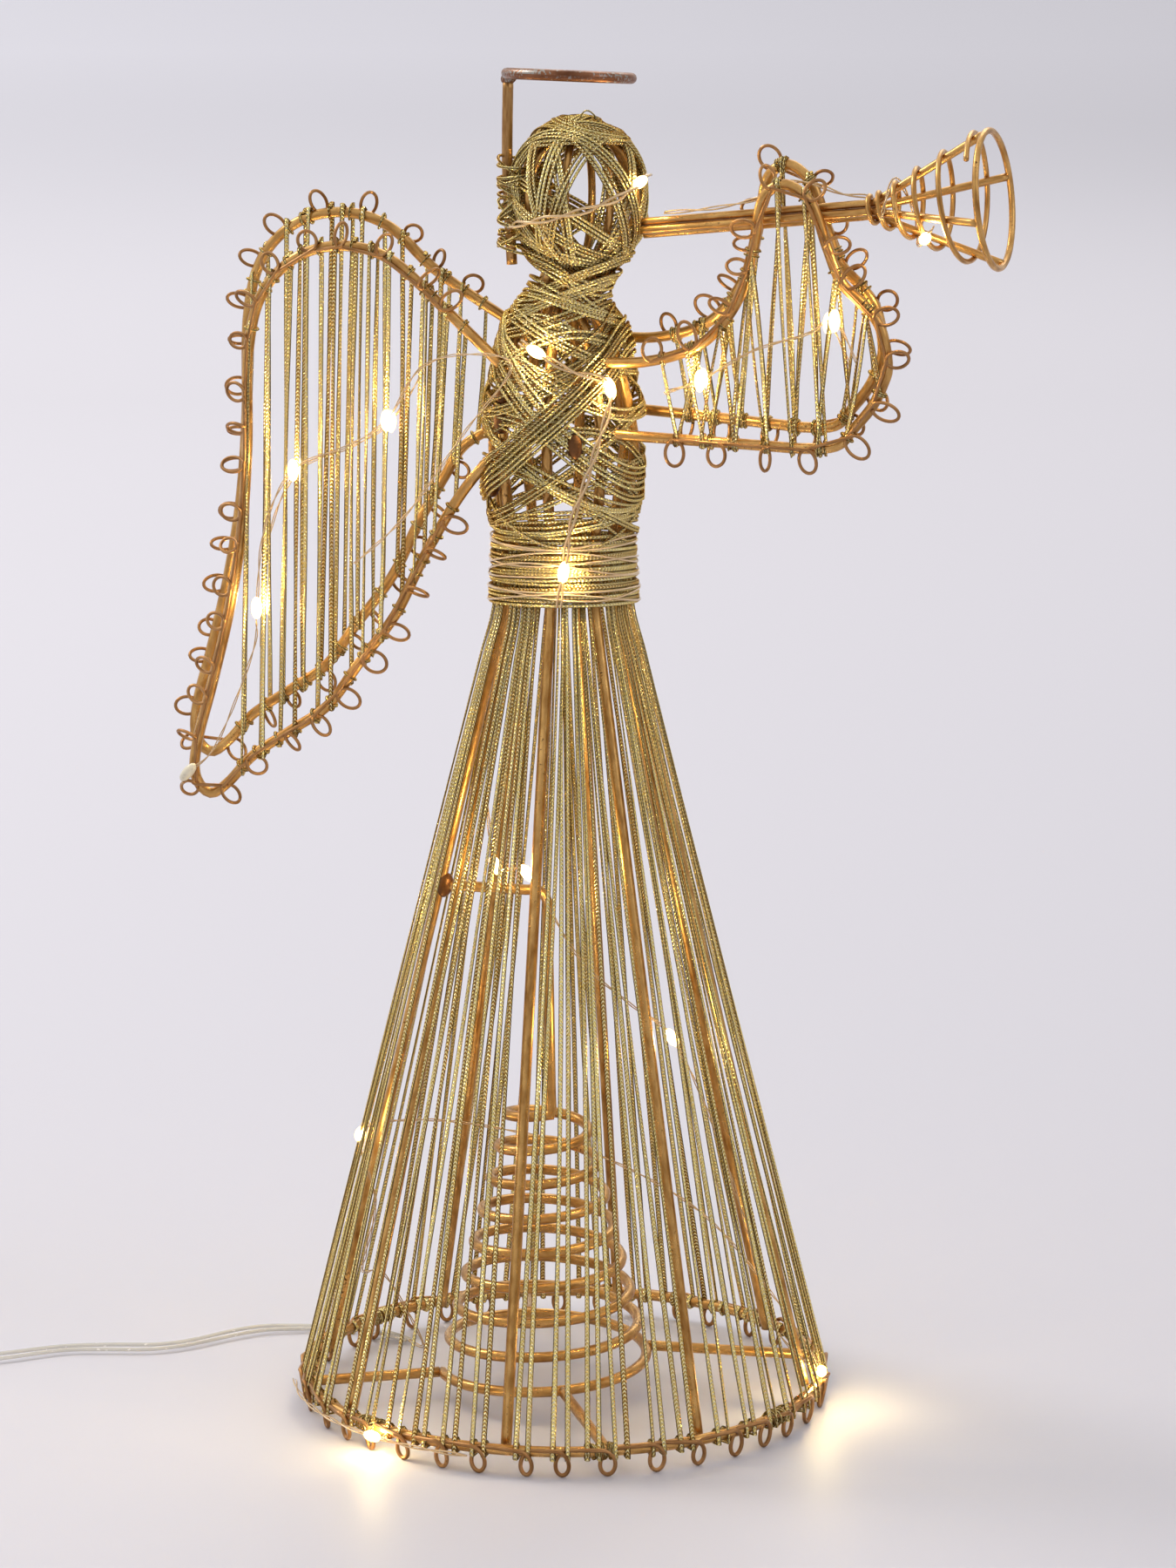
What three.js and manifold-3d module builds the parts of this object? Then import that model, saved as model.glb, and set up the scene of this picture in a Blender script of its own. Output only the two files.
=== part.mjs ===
// Angel tree topper: a wire figure laced with braided thread, strung with small lights.
// Millimetres, +Z up. The figure faces +X and its left is +Y.
// The origin is on the skirt's axis at floor level.

import * as THREE from 'three';
import { mergeVertices } from 'three/addons/utils/BufferGeometryUtils.js';
import loadManifold from 'manifold-3d';

// Fits
const SEAT_GAP = 0.3; // between a piece and what it rests on
const TURN_GAP = 0.45; // least clear space between two turns of one winding
const HAND_GAP = 1.0; // between the trumpet and each sleeve that holds it
const FLAT_CUT = 0.5; // depth of the flat where a hem curl meets the floor
const JOIN = 0.5; // how deep one block sinks into the block that it is joined to

// Wire and thread stock
const ROD = 2.5; // frame rods
const CURL_WIRE = 1.0; // ornamental curls
const CURL_DRIFT = 2.0; // sideways step of the wire over one curl
const THREAD = 0.9; // thread of the wrapped parts
const SKIRT_STRING = 1.5; // braided cord of the skirt
const WING_STRING = 1.3;
const SLEEVE_STRING = 1.1;
const LIGHT_WIRE = 0.8;
const LIGHT_DROP = 3.6; // diameter of a light's resin drop
const LIGHT_DROP_LENGTH = 6;
const DROP_PROFILE = [[-0.5, 0], [-0.3, 0.8], [0, 1], [0.3, 0.8], [0.5, 0]]; // share of length, of diameter

// Base hoop and its hem of curls
const HOOP_RADIUS = 60;
const HOOP_HEIGHT = 5.8;
const HEM_CURLS = 20;
const HEM_CURL_WIDTH = 4.6;

// Body ribs: straight up the skirt, round the chest and up the neck
const RIB_COUNT = 8;
const WAIST_LOW = 188; // height of the waist band's lower edge
const WAIST_BAND = 16; // height of the band
const WAIST_RADIUS = 13.3; // centre line of the ribs
const CHEST_RADIUS = 16.2;
const CHEST_RISE = 22; // widest place of the chest above the waist band
const CHEST_FULLNESS = 0.5; // bulge between the waist and that place
const SHOULDER_RADIUS = 12.2;
const SHOULDER_RISE = 18; // above the chest's widest place
const NECK_RADIUS = 6.5;
const NECK_RISE = 12; // foot of the neck above the shoulder

// Thread on the body
const SKIRT_LOOPS = 23;
const WAIST_LOOPS = 7;
const TORSO_LOOPS = 4; // in each of two crossing layers
const TORSO_CROSSING = 4; // where the two layers cross at the figure's sides, above the chest's widest place
const TORSO_SLANT = 9; // rise of each torso loop from its middle to its high side
const TORSO_PITCH = 1.6;
const NECK_LOOPS = 4;

// Head
const HEAD_FORWARD = 3.5; // head centre ahead of the skirt's axis
const HEAD_RISE = 23.5; // head centre above the foot of the neck
const HEAD_CAGE_RADIUS = 10.7;
const HEAD_CAGE_HALF_HEIGHT = 13.4;
const HEAD_ROD = 2.0;
const HEAD_RINGS = 4;
const HEAD_LOOPS = 4; // in each of two crossing layers
const HEAD_TILT = THREE.MathUtils.degToRad(20);
const HEAD_WRAP_LOW = THREE.MathUtils.degToRad(112); // lowest loop, from the pole of its layer
const HEAD_WRAP_HIGH = THREE.MathUtils.degToRad(14);

// Halo
const HALO_RADIUS = 13.9;
const HALO_RISE = 27.3; // above the head's centre
const HALO_LEAN = THREE.MathUtils.degToRad(4); // the figure's right side is the higher one
const HALO_POST_DROP = 13; // lower end of the post below the head's centre
const HALO_POST_KNEE = 6; // bend of the post above the head's centre
const HALO_POST_BEND = 0.8; // the post leans this far forward above the head

// Trumpet
const TRUMPET_DROP = 6.1; // mouthpiece below the head's centre
const TRUMPET_SIDE = -1.5; // mouthpiece to the figure's right of the middle
const TRUMPET_YAW = THREE.MathUtils.degToRad(-6);
const TRUMPET_PITCH = THREE.MathUtils.degToRad(6.2);
const TRUMPET_ROD = 1.8;
const TRUMPET_TUBE = 54;
const BELL_LENGTH = 27;
const BELL_RADIUS = 15;
const BELL_TURNS = 4;
const BELL_WIRE = 1.4;
const SPIRAL_START = 1; // from the tube's end to the first turn
const BELL_ROLL = THREE.MathUtils.degToRad(15);

// Wings, drawn on an upright plane: forward of the axis and up from the wing root
const WING_SPACING = 20; // between the two wing planes, whose roots are at shoulder height
const WING_SET_BACK = 3; // the left wing is bent this far back, the right one forward
const WING_LIFT = 2.8; // and the left one this far up, the right one down
const WING_CURLS = 11;
const WING_CURL_SIZE = 4.8;
const WING_LOOPS = 12;
const WING_LACE_BACK = -71; // rearmost string
const WING_LACE_FRONT = -25; // string nearest the body
const WING_OUTLINE = [
  [-28, 14], [-40, 24.5], [-51, 27.6], [-62, 25], [-70.5, 16.5], [-74, 3], [-74.6, -19], [-76.3, -39],
  [-79.5, -57], [-83.5, -73], [-87.5, -87.5], [-88, -95.5], [-84.5, -99.4], [-80, -96.5], [-74, -90],
  [-64.5, -83.5], [-56, -77.5], [-49, -68], [-40, -56], [-34, -44], [-27.5, -32.5], [-22, -24.5],
];
const WING_FOOT_DROP = 18; // lower root below the upper one
const WING_ROOT_SLOPE = 0.6; // rise of the root rods over their length

// Sleeves, drawn on an upright plane: along the arm from the body's middle and up from the sleeve root
const SLEEVE_ROOT_RISE = 2; // above the shoulder
const SLEEVE_SPACING = 22; // between the two sleeve planes at the body
const SLEEVE_HOLD = 52; // forward place where the hands hold the trumpet
const SLEEVE_LIFT = 1.8; // the left sleeve is set this far up, the right one down
const SLEEVE_CURLS = 6;
const SLEEVE_CURL_SIZE = 4.8;
const SLEEVE_LOOPS = 9;
const SLEEVE_LACE_START = 29;
const SLEEVE_LACE_END = 70;
const SLEEVE_OUTLINE = [
  [20, 0.3], [29.5, 2.6], [36.3, 6.8], [42.3, 15.4], [45.4, 26.6], [47.4, 37], [52.2, 40.3], [57.2, 37.4],
  [59.7, 33], [61.7, 27], [65, 19.1], [70, 14.2], [73.8, 9.2], [75.5, 1], [74.5, -3.4], [72.1, -8.4],
  [68.2, -13.2], [64.4, -17.2], [57, -18], [47.6, -17.6],
];
const SLEEVE_FOOT_DROP = 16; // lower root below the upper one

// Curls and strings of wings and sleeves
const CURL_MARGIN = 0.06; // share of a frame's length left bare at each end
const LACE_CLEAR = 0.75; // centre of a string's turn inside the frame, in strings

// Light strings: places on the part that carries each, and which of them hold a drop
const WING_LIGHTS = [[-30, -2], [-38, -14], [-47, -20], [-60, -26], [-67, -40], [-69, -58], [-70, -68]];
const WING_DROPS = [1, 3, 5];
const WING_LIGHT_SHIFT = [-5.9, -3.7]; // of the left wing's string against the right one's
const SLEEVE_LIGHTS = [[26, -8], [34, -5], [46, 2], [58, 6], [64, 9], [69, 0]];
const SLEEVE_DROPS = [1, 4];
const SLEEVE_LIGHT_SHIFT = [-3.5, -2.1];
const HEAD_LIGHT_ANGLES = [-150, -125, -100, -75, -50, -25, -2, 12];
const HEAD_LIGHT_START = 4; // first place below the head's centre
const HEAD_LIGHT_CLIMB = 1.3; // from place to place
const HEAD_LIGHT_TUCK = 0.7; // how far they sit in the dips of the thread
const HEAD_DROPS = [6];
const TORSO_LIGHT_ANGLES = [-112, -97, -72, -46, -60, -72, -77, -80];
const TORSO_LIGHT_RISES = [23, 21, 17, 13, -2, -17, -28, -36]; // above the chest's widest place
const TORSO_DROPS = [1, 3, 6];
const BELL_LIGHTS = [-24, -12, -2, 5, 13, 20]; // past the start of the bell
const BELL_LIGHT_ANGLES = [-100, -100, -106, -120, -140, -152];
const BELL_DROPS = [4];
// Angle and share of the rise from hoop to waist
const SKIRT_LIGHTS = [
  [-165, 0.9], [-142, 0.79], [-118, 0.665], [-97, 0.66], [-70, 0.58], [-48, 0.52], [-29, 0.47], [-14, 0.35],
  [-6, 0.215], [-2, 0.1], [0, 0.04], [25, 0.08], [60, 0.155], [95, 0.22], [130, 0.265], [165, 0.3],
  [193, 0.312], [205, 0.24], [200, 0.166], [180, 0.11], [162, 0.08],
];
const SKIRT_DROPS = [2, 3, 6, 10, 16];
const HEM_LIGHT_ANGLES = [198, 208, 219, 230, 240, 250, 258, 263];
const HEM_LIGHT_DROP = 1; // below the hoop's middle
const HEM_DROPS = [4];

// Tree mount: a conical spiral inside the skirt, hung from the hoop and one rib
const COIL_CENTRE = -4.5; // forward place of the spiral's axis
const COIL_BASE_RADIUS = 24.5;
const COIL_TOP_RADIUS = 8.5;
const COIL_TURNS = 8.25;
const COIL_PITCH = 7.7;
const COIL_START = THREE.MathUtils.degToRad(202.5);
const BAR_HEIGHT = 120.5;
const BAR_START = new THREE.Vector2(-3.8, -0.9); // where the riser meets the bar
const SPOKES = 4;

// Lead, laid on the floor in a frame turned about the skirt's axis
const LEAD_TURN = THREE.MathUtils.degToRad(13);
const LEAD = 2.0;
const LEAD_REST = 0.1; // clear space under the lead
const LEAD_STEPS = 26;
const LEAD_ROUTE = [
  [-38, 35.5], [-43.9, 40.9], [-50, 44.2], [-55.2, 45.2], [-60.6, 45.5], [-66.8, 45.6], [-72.8, 45],
  [-77.6, 43], [-82, 40], [-90, 34], [-95, 31.4], [-100.6, 30], [-110.5, 30], [-121, 29], [-134, 23.5],
  [-143.5, 19.8], [-153, 17.9], [-163, 17.4],
];
const LEAD_COIL_CENTRE = new THREE.Vector2(-176, 31);
const LEAD_COIL_RADIUS = 13.6; // outermost turn
const LEAD_COIL_TURNS = 4.25;
const LEAD_COIL_SLACK = 0.1; // play between neighbouring turns
const LEAD_COIL_CLIMB = 0.5; // turns taken by the step up to the second layer
const TIE_THICKNESS = 0.8;
const TIE_WIDTH = 4;
const TIE_ANGLE = THREE.MathUtils.degToRad(60);

// Battery box at the lead's end
const CELL_RADIUS = 7.1;
const CELL_LENGTH = 50;
const CELL_NUB_RADIUS = 2.6;
const CELL_NUB = 1.2;
const BOX_WALL = 1.6;
const BOX_END_BLOCK = 10; // houses the switch
const BOX_STANDOFF = 16; // from the coil's middle to the box
const CELL_PLAY = 0.5;
const COVER_THICKNESS = 2;
const COVER_PLAY = 0.25;
const COVER_LIP = 1.2;
const COVER_GROOVE = 0.8;
const GRIP_RIDGE = 1.0; // height of a ridge
const GRIP_RIDGES = 4;
const GRIP_INSET = 6; // first ridge from the cover's end
const GRIP_PITCH = 3;
const GRIP_LENGTH = 16;
const GRIP_WIDTH = 1.4;
const SWITCH_TRAVEL = 4;
const SWITCH_WIDTH = 4;
const SWITCH_LENGTH = 4.6;
const SWITCH_DEPTH = 2.2;
const SWITCH_SINK = 0.4; // top of the slide below the box's top
const SWITCH_KNOB = 2.4;
const KNOB_INSET = 0.5;
const KNOB_RISE = 1.4;
const SWITCH_PLAY = 0.25;

// Faceting
const ROUND = 5; // sides of a rod
const WIRE_SIDES = 4; // sides of thread and curl wire
const WRAP_STEPS = 12; // steps of one wrapped loop
const CURL_STEPS = 6;
const FRAME_STEPS = 26;
const RIB_STEPS = 7; // of the curved part of a rib
const HOOP_STEPS = 40;
const RING_STEPS = 20; // of the waist hoop and the head's rings
const COLLAR_STEPS = 16;
const RIM_STEPS = 24; // of the halo and the trumpet's rim
const CELL_STEPS = 14;
const OUTLINE_SAMPLES = 60;

const RAD = THREE.MathUtils.degToRad;

// Heights that follow from the rises above
const waistHigh = WAIST_LOW + WAIST_BAND;
const chestHeight = waistHigh + CHEST_RISE;
const shoulderHeight = chestHeight + SHOULDER_RISE;
const neckLow = shoulderHeight + NECK_RISE;
const headHeight = neckLow + HEAD_RISE;
const haloHeight = headHeight + HALO_RISE;
const trumpetHeight = headHeight - TRUMPET_DROP;
const sleeveRoot = shoulderHeight + SLEEVE_ROOT_RISE;
const torsoCrossing = chestHeight + TORSO_CROSSING;

const wasm = await loadManifold();
wasm.setup();

const metal = (color) => new THREE.MeshStandardMaterial({ color, roughness: 0.42, metalness: 0.85 });
const FINISH = {
  rod: metal(0xb2803f),
  curl: metal(0x8f6a3c),
  halo: metal(0x8a6544),
  thread: new THREE.MeshStandardMaterial({ color: 0xbfa55e, roughness: 0.5, metalness: 0.5 }),
  light: new THREE.MeshStandardMaterial({ color: 0xfff0cf, roughness: 0.25, metalness: 0 }),
  lead: new THREE.MeshStandardMaterial({ color: 0xd9d6cc, roughness: 0.3, metalness: 0 }),
  box: new THREE.MeshStandardMaterial({ color: 0xe9e6df, roughness: 0.5, metalness: 0 }),
  cell: new THREE.MeshStandardMaterial({ color: 0x5d6066, roughness: 0.35, metalness: 0.4 }),
};

const topper = new THREE.Group();

function add(name, geometry, finish, parent = topper) {
  const mesh = new THREE.Mesh(geometry, FINISH[finish]);
  mesh.name = name;
  parent.add(mesh);
  return mesh;
}

const vec = (x, y, z) => new THREE.Vector3(x, y, z);
const polar = (radius, angle, z) => vec(radius * Math.cos(angle), radius * Math.sin(angle), z);

// Closed tube along a line of points, mitred at each corner.
// radius is a number or a function of the point's index.
function tube(points, radius, sides = ROUND) {
  const radiusAt = typeof radius === 'function' ? radius : () => radius;
  const last = points.length - 1;
  const heading = (i) => points[i + 1].clone().sub(points[i]).normalize();
  const place = [];
  const index = [];
  let into = heading(0);
  const across = Math.abs(into.z) < 0.9 ? vec(0, 0, 1) : vec(1, 0, 0);
  const side = across.cross(into).normalize();
  points.forEach((point, i) => {
    const out = i < last ? heading(i) : into;
    const mitre = into.clone().add(out).normalize();
    const other = into.clone().cross(side);
    for (let k = 0; k < sides; k += 1) {
      const angle = (2 * Math.PI * k) / sides;
      const offset = side.clone().multiplyScalar(Math.cos(angle)).addScaledVector(other, Math.sin(angle));
      offset.multiplyScalar(radiusAt(i));
      offset.addScaledVector(into, -offset.dot(mitre) / into.dot(mitre));
      place.push(...point.clone().add(offset).toArray());
    }
    side.applyQuaternion(new THREE.Quaternion().setFromUnitVectors(into, out));
    into = out;
  });
  for (let i = 0; i < last; i += 1) {
    for (let k = 0; k < sides; k += 1) {
      const next = (k + 1) % sides;
      const a = i * sides + k;
      const b = i * sides + next;
      index.push(a, b, b + sides, a, b + sides, a + sides);
    }
  }
  const end = last * sides;
  for (let k = 1; k < sides - 1; k += 1) {
    index.push(0, k + 1, k, end, end + k, end + k + 1);
  }
  const geometry = new THREE.BufferGeometry();
  geometry.setAttribute('position', new THREE.Float32BufferAttribute(place, 3));
  geometry.setIndex(index);
  return geometry;
}

// Prints the least clear space between stretches of one wound wire that lie well apart along it.
function printLeastGap(name, points, diameter) {
  const spacing = diameter / 2;
  const samples = [];
  let run = 0;
  for (let i = 1; i < points.length; i += 1) {
    const length = points[i].distanceTo(points[i - 1]);
    const parts = Math.max(1, Math.ceil(length / spacing));
    for (let k = 0; k < parts; k += 1) {
      const point = points[i - 1].clone().lerp(points[i], k / parts);
      samples.push({ at: run + (length * k) / parts, point });
    }
    run += length;
  }
  const apart = 3 * (diameter + TURN_GAP);
  let least = Infinity;
  samples.forEach((a, i) => {
    for (let k = i + 1; k < samples.length; k += 1) {
      if (samples[k].at - a.at > apart) {
        least = Math.min(least, a.point.distanceToSquared(samples[k].point));
      }
    }
  });
  console.log(`${name}: least gap to itself ${(Math.sqrt(least) - diameter).toFixed(2)} mm`);
}

function addWound(name, points, diameter, finish, sides = WIRE_SIDES, parent = topper) {
  printLeastGap(name, points, diameter);
  return add(name, tube(points, diameter / 2, sides), finish, parent);
}

// Solids for joining and cutting
function solid(geometry) {
  const plain = geometry.clone();
  plain.deleteAttribute('normal');
  plain.deleteAttribute('uv');
  const merged = mergeVertices(plain, 1e-4);
  const vertProperties = new Float32Array(merged.attributes.position.array);
  const triVerts = new Uint32Array(merged.index.array);
  return new wasm.Manifold(new wasm.Mesh({ numProp: 3, vertProperties, triVerts }));
}

function surface(body) {
  const mesh = body.getMesh();
  const geometry = new THREE.BufferGeometry();
  geometry.setAttribute('position', new THREE.Float32BufferAttribute(mesh.vertProperties, 3));
  geometry.setIndex(new THREE.Uint32BufferAttribute(mesh.triVerts, 1));
  return geometry;
}

function block(low, high) {
  const size = high.clone().sub(low);
  const centre = low.clone().add(high).multiplyScalar(0.5);
  return new THREE.BoxGeometry(size.x, size.y, size.z).translate(centre.x, centre.y, centre.z);
}

// Outline of one body rib as radius and height, from the hoop to the neck
const ribLean = Math.atan2(HOOP_RADIUS - WAIST_RADIUS, WAIST_LOW - HOOP_HEIGHT);
const ribFootRadius = HOOP_RADIUS - (ROD + SEAT_GAP) / Math.cos(ribLean);
const headBase = headHeight - HEAD_CAGE_HALF_HEIGHT * Math.sqrt(1 - (NECK_RADIUS / HEAD_CAGE_RADIUS) ** 2);
const headBaseSlope = Math.hypot(1, (HEAD_CAGE_HALF_HEIGHT * NECK_RADIUS) / HEAD_CAGE_RADIUS ** 2);
const ribTop = headBase - (HEAD_ROD * headBaseSlope) / 2 - ROD / 2 - SEAT_GAP;
const torsoCurve = new THREE.SplineCurve([
  new THREE.Vector2(WAIST_RADIUS, waistHigh),
  new THREE.Vector2((WAIST_RADIUS + CHEST_RADIUS) / 2 + CHEST_FULLNESS, (waistHigh + chestHeight) / 2),
  new THREE.Vector2(CHEST_RADIUS, chestHeight),
  new THREE.Vector2(SHOULDER_RADIUS, shoulderHeight),
  new THREE.Vector2(NECK_RADIUS, neckLow),
]);
const torsoSamples = torsoCurve.getPoints(OUTLINE_SAMPLES);

function ribRadius(z) {
  if (z <= WAIST_LOW) {
    return THREE.MathUtils.mapLinear(z, HOOP_HEIGHT, WAIST_LOW, ribFootRadius, WAIST_RADIUS);
  }
  const above = torsoSamples.findIndex((p) => p.y >= z);
  if (above < 0) {
    return NECK_RADIUS;
  }
  if (above === 0) {
    return WAIST_RADIUS;
  }
  const low = torsoSamples[above - 1];
  return THREE.MathUtils.mapLinear(z, low.y, torsoSamples[above].y, low.x, torsoSamples[above].x);
}

// Radius at a height of a surface lying a given distance outside the ribs' centre line
function bodyRadius(z, offset) {
  const slope = ribRadius(z + 0.5) - ribRadius(z - 0.5);
  return ribRadius(z) + offset * Math.hypot(1, slope);
}

const ringCorner = 1 / Math.cos(Math.PI / WRAP_STEPS); // corner of a faceted loop over its flats
const innerWrap = ROD / 2 + SEAT_GAP + THREAD / 2;
const outerWrap = innerWrap * ringCorner + THREAD + TURN_GAP + CHEST_RADIUS * (ringCorner - 1);
const torsoSurface = outerWrap * ringCorner + THREAD / 2 + CHEST_RADIUS * (ringCorner - 1);

// The neck leans forward to the head: forward shift at a height
const neckLean = (z) => HEAD_FORWARD * THREE.MathUtils.clamp((z - neckLow) / (ribTop - neckLow), 0, 1);

// Base hoop, ribs and inner rings
const hoop = new THREE.TorusGeometry(HOOP_RADIUS, ROD / 2, ROUND, HOOP_STEPS);
add('base_hoop', hoop.translate(0, 0, HOOP_HEIGHT), 'rod');
for (let i = 0; i < RIB_COUNT; i += 1) {
  const angle = (2 * Math.PI * i) / RIB_COUNT;
  const outline = [
    [ribFootRadius, HOOP_HEIGHT],
    [WAIST_RADIUS, WAIST_LOW],
    ...torsoCurve.getPoints(RIB_STEPS).map((p) => [p.x, p.y]),
    [NECK_RADIUS, ribTop],
  ];
  const line = outline.map(([r, z]) => polar(r, angle, z).add(vec(neckLean(z), 0, 0)));
  add(`body_rib_${i + 1}`, tube(line, ROD / 2), 'rod');
}
const waistHoopRadius = WAIST_RADIUS - ROD - SEAT_GAP;
const waistMiddle = (WAIST_LOW + waistHigh) / 2;
const waistHoop = new THREE.TorusGeometry(waistHoopRadius, ROD / 2, ROUND, RING_STEPS);
add('waist_hoop', waistHoop.translate(0, 0, waistMiddle), 'rod');
const collarRadius = NECK_RADIUS - ROD - SEAT_GAP;
const collarHeight = neckLow + ROD;
const collar = new THREE.TorusGeometry(collarRadius, ROD / 2, ROUND, COLLAR_STEPS);
add('collar_ring', collar.translate(neckLean(collarHeight), 0, collarHeight), 'rod');

// Curled wire: follows an edge and throws a round curl outward at even spacing.
// edge(t) gives point, along, out and side for t from 0 to 1.
// followed adds a point of the edge between two curls.
function curlPath(edge, count, width, reach, followed) {
  const path = [];
  for (let i = 0; i < count; i += 1) {
    const { point, along, out, side } = edge((i + 0.5) / count);
    for (let k = 0; k <= CURL_STEPS; k += 1) {
      const angle = (2 * Math.PI * k) / CURL_STEPS;
      path.push(point.clone()
        .addScaledVector(along, (width / 2) * Math.sin(angle))
        .addScaledVector(out, (reach / 2) * (1 - Math.cos(angle)))
        .addScaledVector(side, (CURL_DRIFT * k) / CURL_STEPS));
    }
    if (followed && i < count - 1) {
      const between = edge((i + 1) / count);
      path.push(between.point.clone().addScaledVector(between.side, CURL_DRIFT / 2));
    }
  }
  return path;
}

// Hem of curls under the hoop, cut flat where it stands
const hemTop = HOOP_HEIGHT - ROD / 2 - SEAT_GAP - CURL_WIRE / 2;
const hemLow = CURL_WIRE / 2 - FLAT_CUT;
function hemEdge(t) {
  const angle = 2 * Math.PI * (t - 0.5 / HEM_CURLS);
  return {
    point: polar(HOOP_RADIUS + CURL_WIRE / 2, angle, hemTop),
    along: polar(1, angle + Math.PI / 2, 0),
    out: vec(0, 0, -1),
    side: polar(-1, angle, 0),
  };
}
const hemPath = curlPath(hemEdge, HEM_CURLS, HEM_CURL_WIDTH, hemTop - hemLow, false);
printLeastGap('hem_loop_wire', hemPath, CURL_WIRE);
const hemReach = HOOP_RADIUS + HEM_CURL_WIDTH;
const aboveFloor = block(vec(-hemReach, -hemReach, 0), vec(hemReach, hemReach, 2 * HOOP_HEIGHT));
const hemWire = solid(tube(hemPath, CURL_WIRE / 2, WIRE_SIDES)).intersect(solid(aboveFloor));
add('hem_loop_wire', surface(hemWire), 'curl');

// Skirt strings: one braided cord laced up and down between the hoop and the waist
const laceTopRadius = WAIST_RADIUS + ROD / 2 + SEAT_GAP + SKIRT_STRING / 2;
const laceFoot = HOOP_HEIGHT + ROD / 2 + SEAT_GAP + SKIRT_STRING / 2;
const laceTop = waistHigh - SKIRT_STRING;
const skirtPath = [];
for (let i = 0; i < 2 * SKIRT_LOOPS; i += 1) {
  const angle = (Math.PI * (i + 0.5)) / SKIRT_LOOPS;
  const run = [
    polar(HOOP_RADIUS, angle, laceFoot),
    polar(laceTopRadius, angle, WAIST_LOW),
    polar(laceTopRadius, angle, laceTop),
  ];
  skirtPath.push(...(i % 2 ? run.reverse() : run));
}
addWound('skirt_strings', skirtPath, SKIRT_STRING, 'thread');

// A climbing wrap round a body of revolution; radiusAt gives the surface radius at a height.
function wrapPath(loops, steps, low, high, radiusAt, slant = 0, from = 0) {
  const corner = 1 / Math.cos(Math.PI / steps);
  const path = [];
  for (let k = 0; k <= loops * steps; k += 1) {
    const turn = from + (2 * Math.PI * k) / steps;
    const z = low + ((high - low) * k) / (loops * steps) + slant * Math.cos(turn);
    path.push(polar(radiusAt(z) * corner, turn, z));
  }
  return path;
}

const waistWrapRadius = laceTopRadius + SKIRT_STRING / 2 + SEAT_GAP + THREAD / 2;
const waistSteps = 10;
addWound(
  'waist_wrap',
  wrapPath(WAIST_LOOPS, waistSteps, WAIST_LOW + THREAD, waistHigh - THREAD, () => waistWrapRadius),
  THREAD,
  'thread',
);

// Torso wrap: up on a slant close to the ribs, and down on the opposite slant over that
const torsoLow = torsoCrossing - (TORSO_PITCH * TORSO_LOOPS) / 2;
const torsoHigh = torsoCrossing + (TORSO_PITCH * TORSO_LOOPS) / 2;
const innerTorso = (z) => bodyRadius(z, innerWrap);
const outerTorso = (z) => bodyRadius(z, outerWrap);
addWound(
  'torso_wrap',
  [
    ...wrapPath(TORSO_LOOPS, WRAP_STEPS, torsoLow, torsoHigh, innerTorso, TORSO_SLANT, Math.PI / 2),
    ...wrapPath(TORSO_LOOPS, WRAP_STEPS, torsoHigh, torsoLow, outerTorso, -TORSO_SLANT, Math.PI / 2).slice(1),
  ],
  THREAD,
  'thread',
);

const neckWrapRadius = NECK_RADIUS + innerWrap;
const neckSteps = 8;
const neckWrapLow = neckLow + THREAD;
const neckWrapHigh = neckWrapLow + NECK_LOOPS * (THREAD + 2 * TURN_GAP);
const neckPath = wrapPath(NECK_LOOPS, neckSteps, neckWrapLow, neckWrapHigh, () => neckWrapRadius);
addWound('neck_wrap', neckPath.map((p) => p.setX(p.x + neckLean(p.z))), THREAD, 'thread');

// Head: crossing rings joined at the crown, wrapped in two crossing layers of thread
const headRing = new THREE.TorusGeometry(HEAD_CAGE_RADIUS, HEAD_ROD / 2, ROUND, RING_STEPS)
  .rotateX(Math.PI / 2)
  .scale(1, 1, HEAD_CAGE_HALF_HEIGHT / HEAD_CAGE_RADIUS);
let headCage = solid(headRing);
for (let i = 1; i < HEAD_RINGS; i += 1) {
  headCage = headCage.add(solid(headRing.clone().rotateZ((Math.PI * i) / HEAD_RINGS)));
}
add('head_cage', surface(headCage).translate(HEAD_FORWARD, 0, headHeight), 'rod');

// Loops of thread round a tilted axis of the head's egg, a given distance outside its rods' centre line
function headLoops(loops, tilt, offset, fromPole, toPole, start) {
  const corner = 1 / Math.cos(Math.PI / WRAP_STEPS);
  const wide = (HEAD_CAGE_RADIUS + offset) * corner;
  const tall = (HEAD_CAGE_HALF_HEIGHT + offset) * corner;
  const lean = new THREE.Quaternion().setFromAxisAngle(vec(0, 1, 0), tilt);
  const path = [];
  for (let k = 0; k <= loops * WRAP_STEPS; k += 1) {
    const fall = THREE.MathUtils.lerp(fromPole, toPole, k / (loops * WRAP_STEPS));
    const point = new THREE.Vector3().setFromSphericalCoords(1, fall, start + (2 * Math.PI * k) / WRAP_STEPS);
    point.set(point.z, point.x, point.y).applyQuaternion(lean);
    path.push(vec(HEAD_FORWARD + wide * point.x, wide * point.y, headHeight + tall * point.z));
  }
  return path;
}
const headInner = HEAD_ROD / 2 + SEAT_GAP + THREAD / 2;
const headOuter = headInner + THREAD + TURN_GAP + (HEAD_CAGE_HALF_HEIGHT + headInner) * (ringCorner - 1);
const headSurface = headOuter + THREAD / 2 + (HEAD_CAGE_HALF_HEIGHT + headOuter) * (ringCorner - 1);
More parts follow.
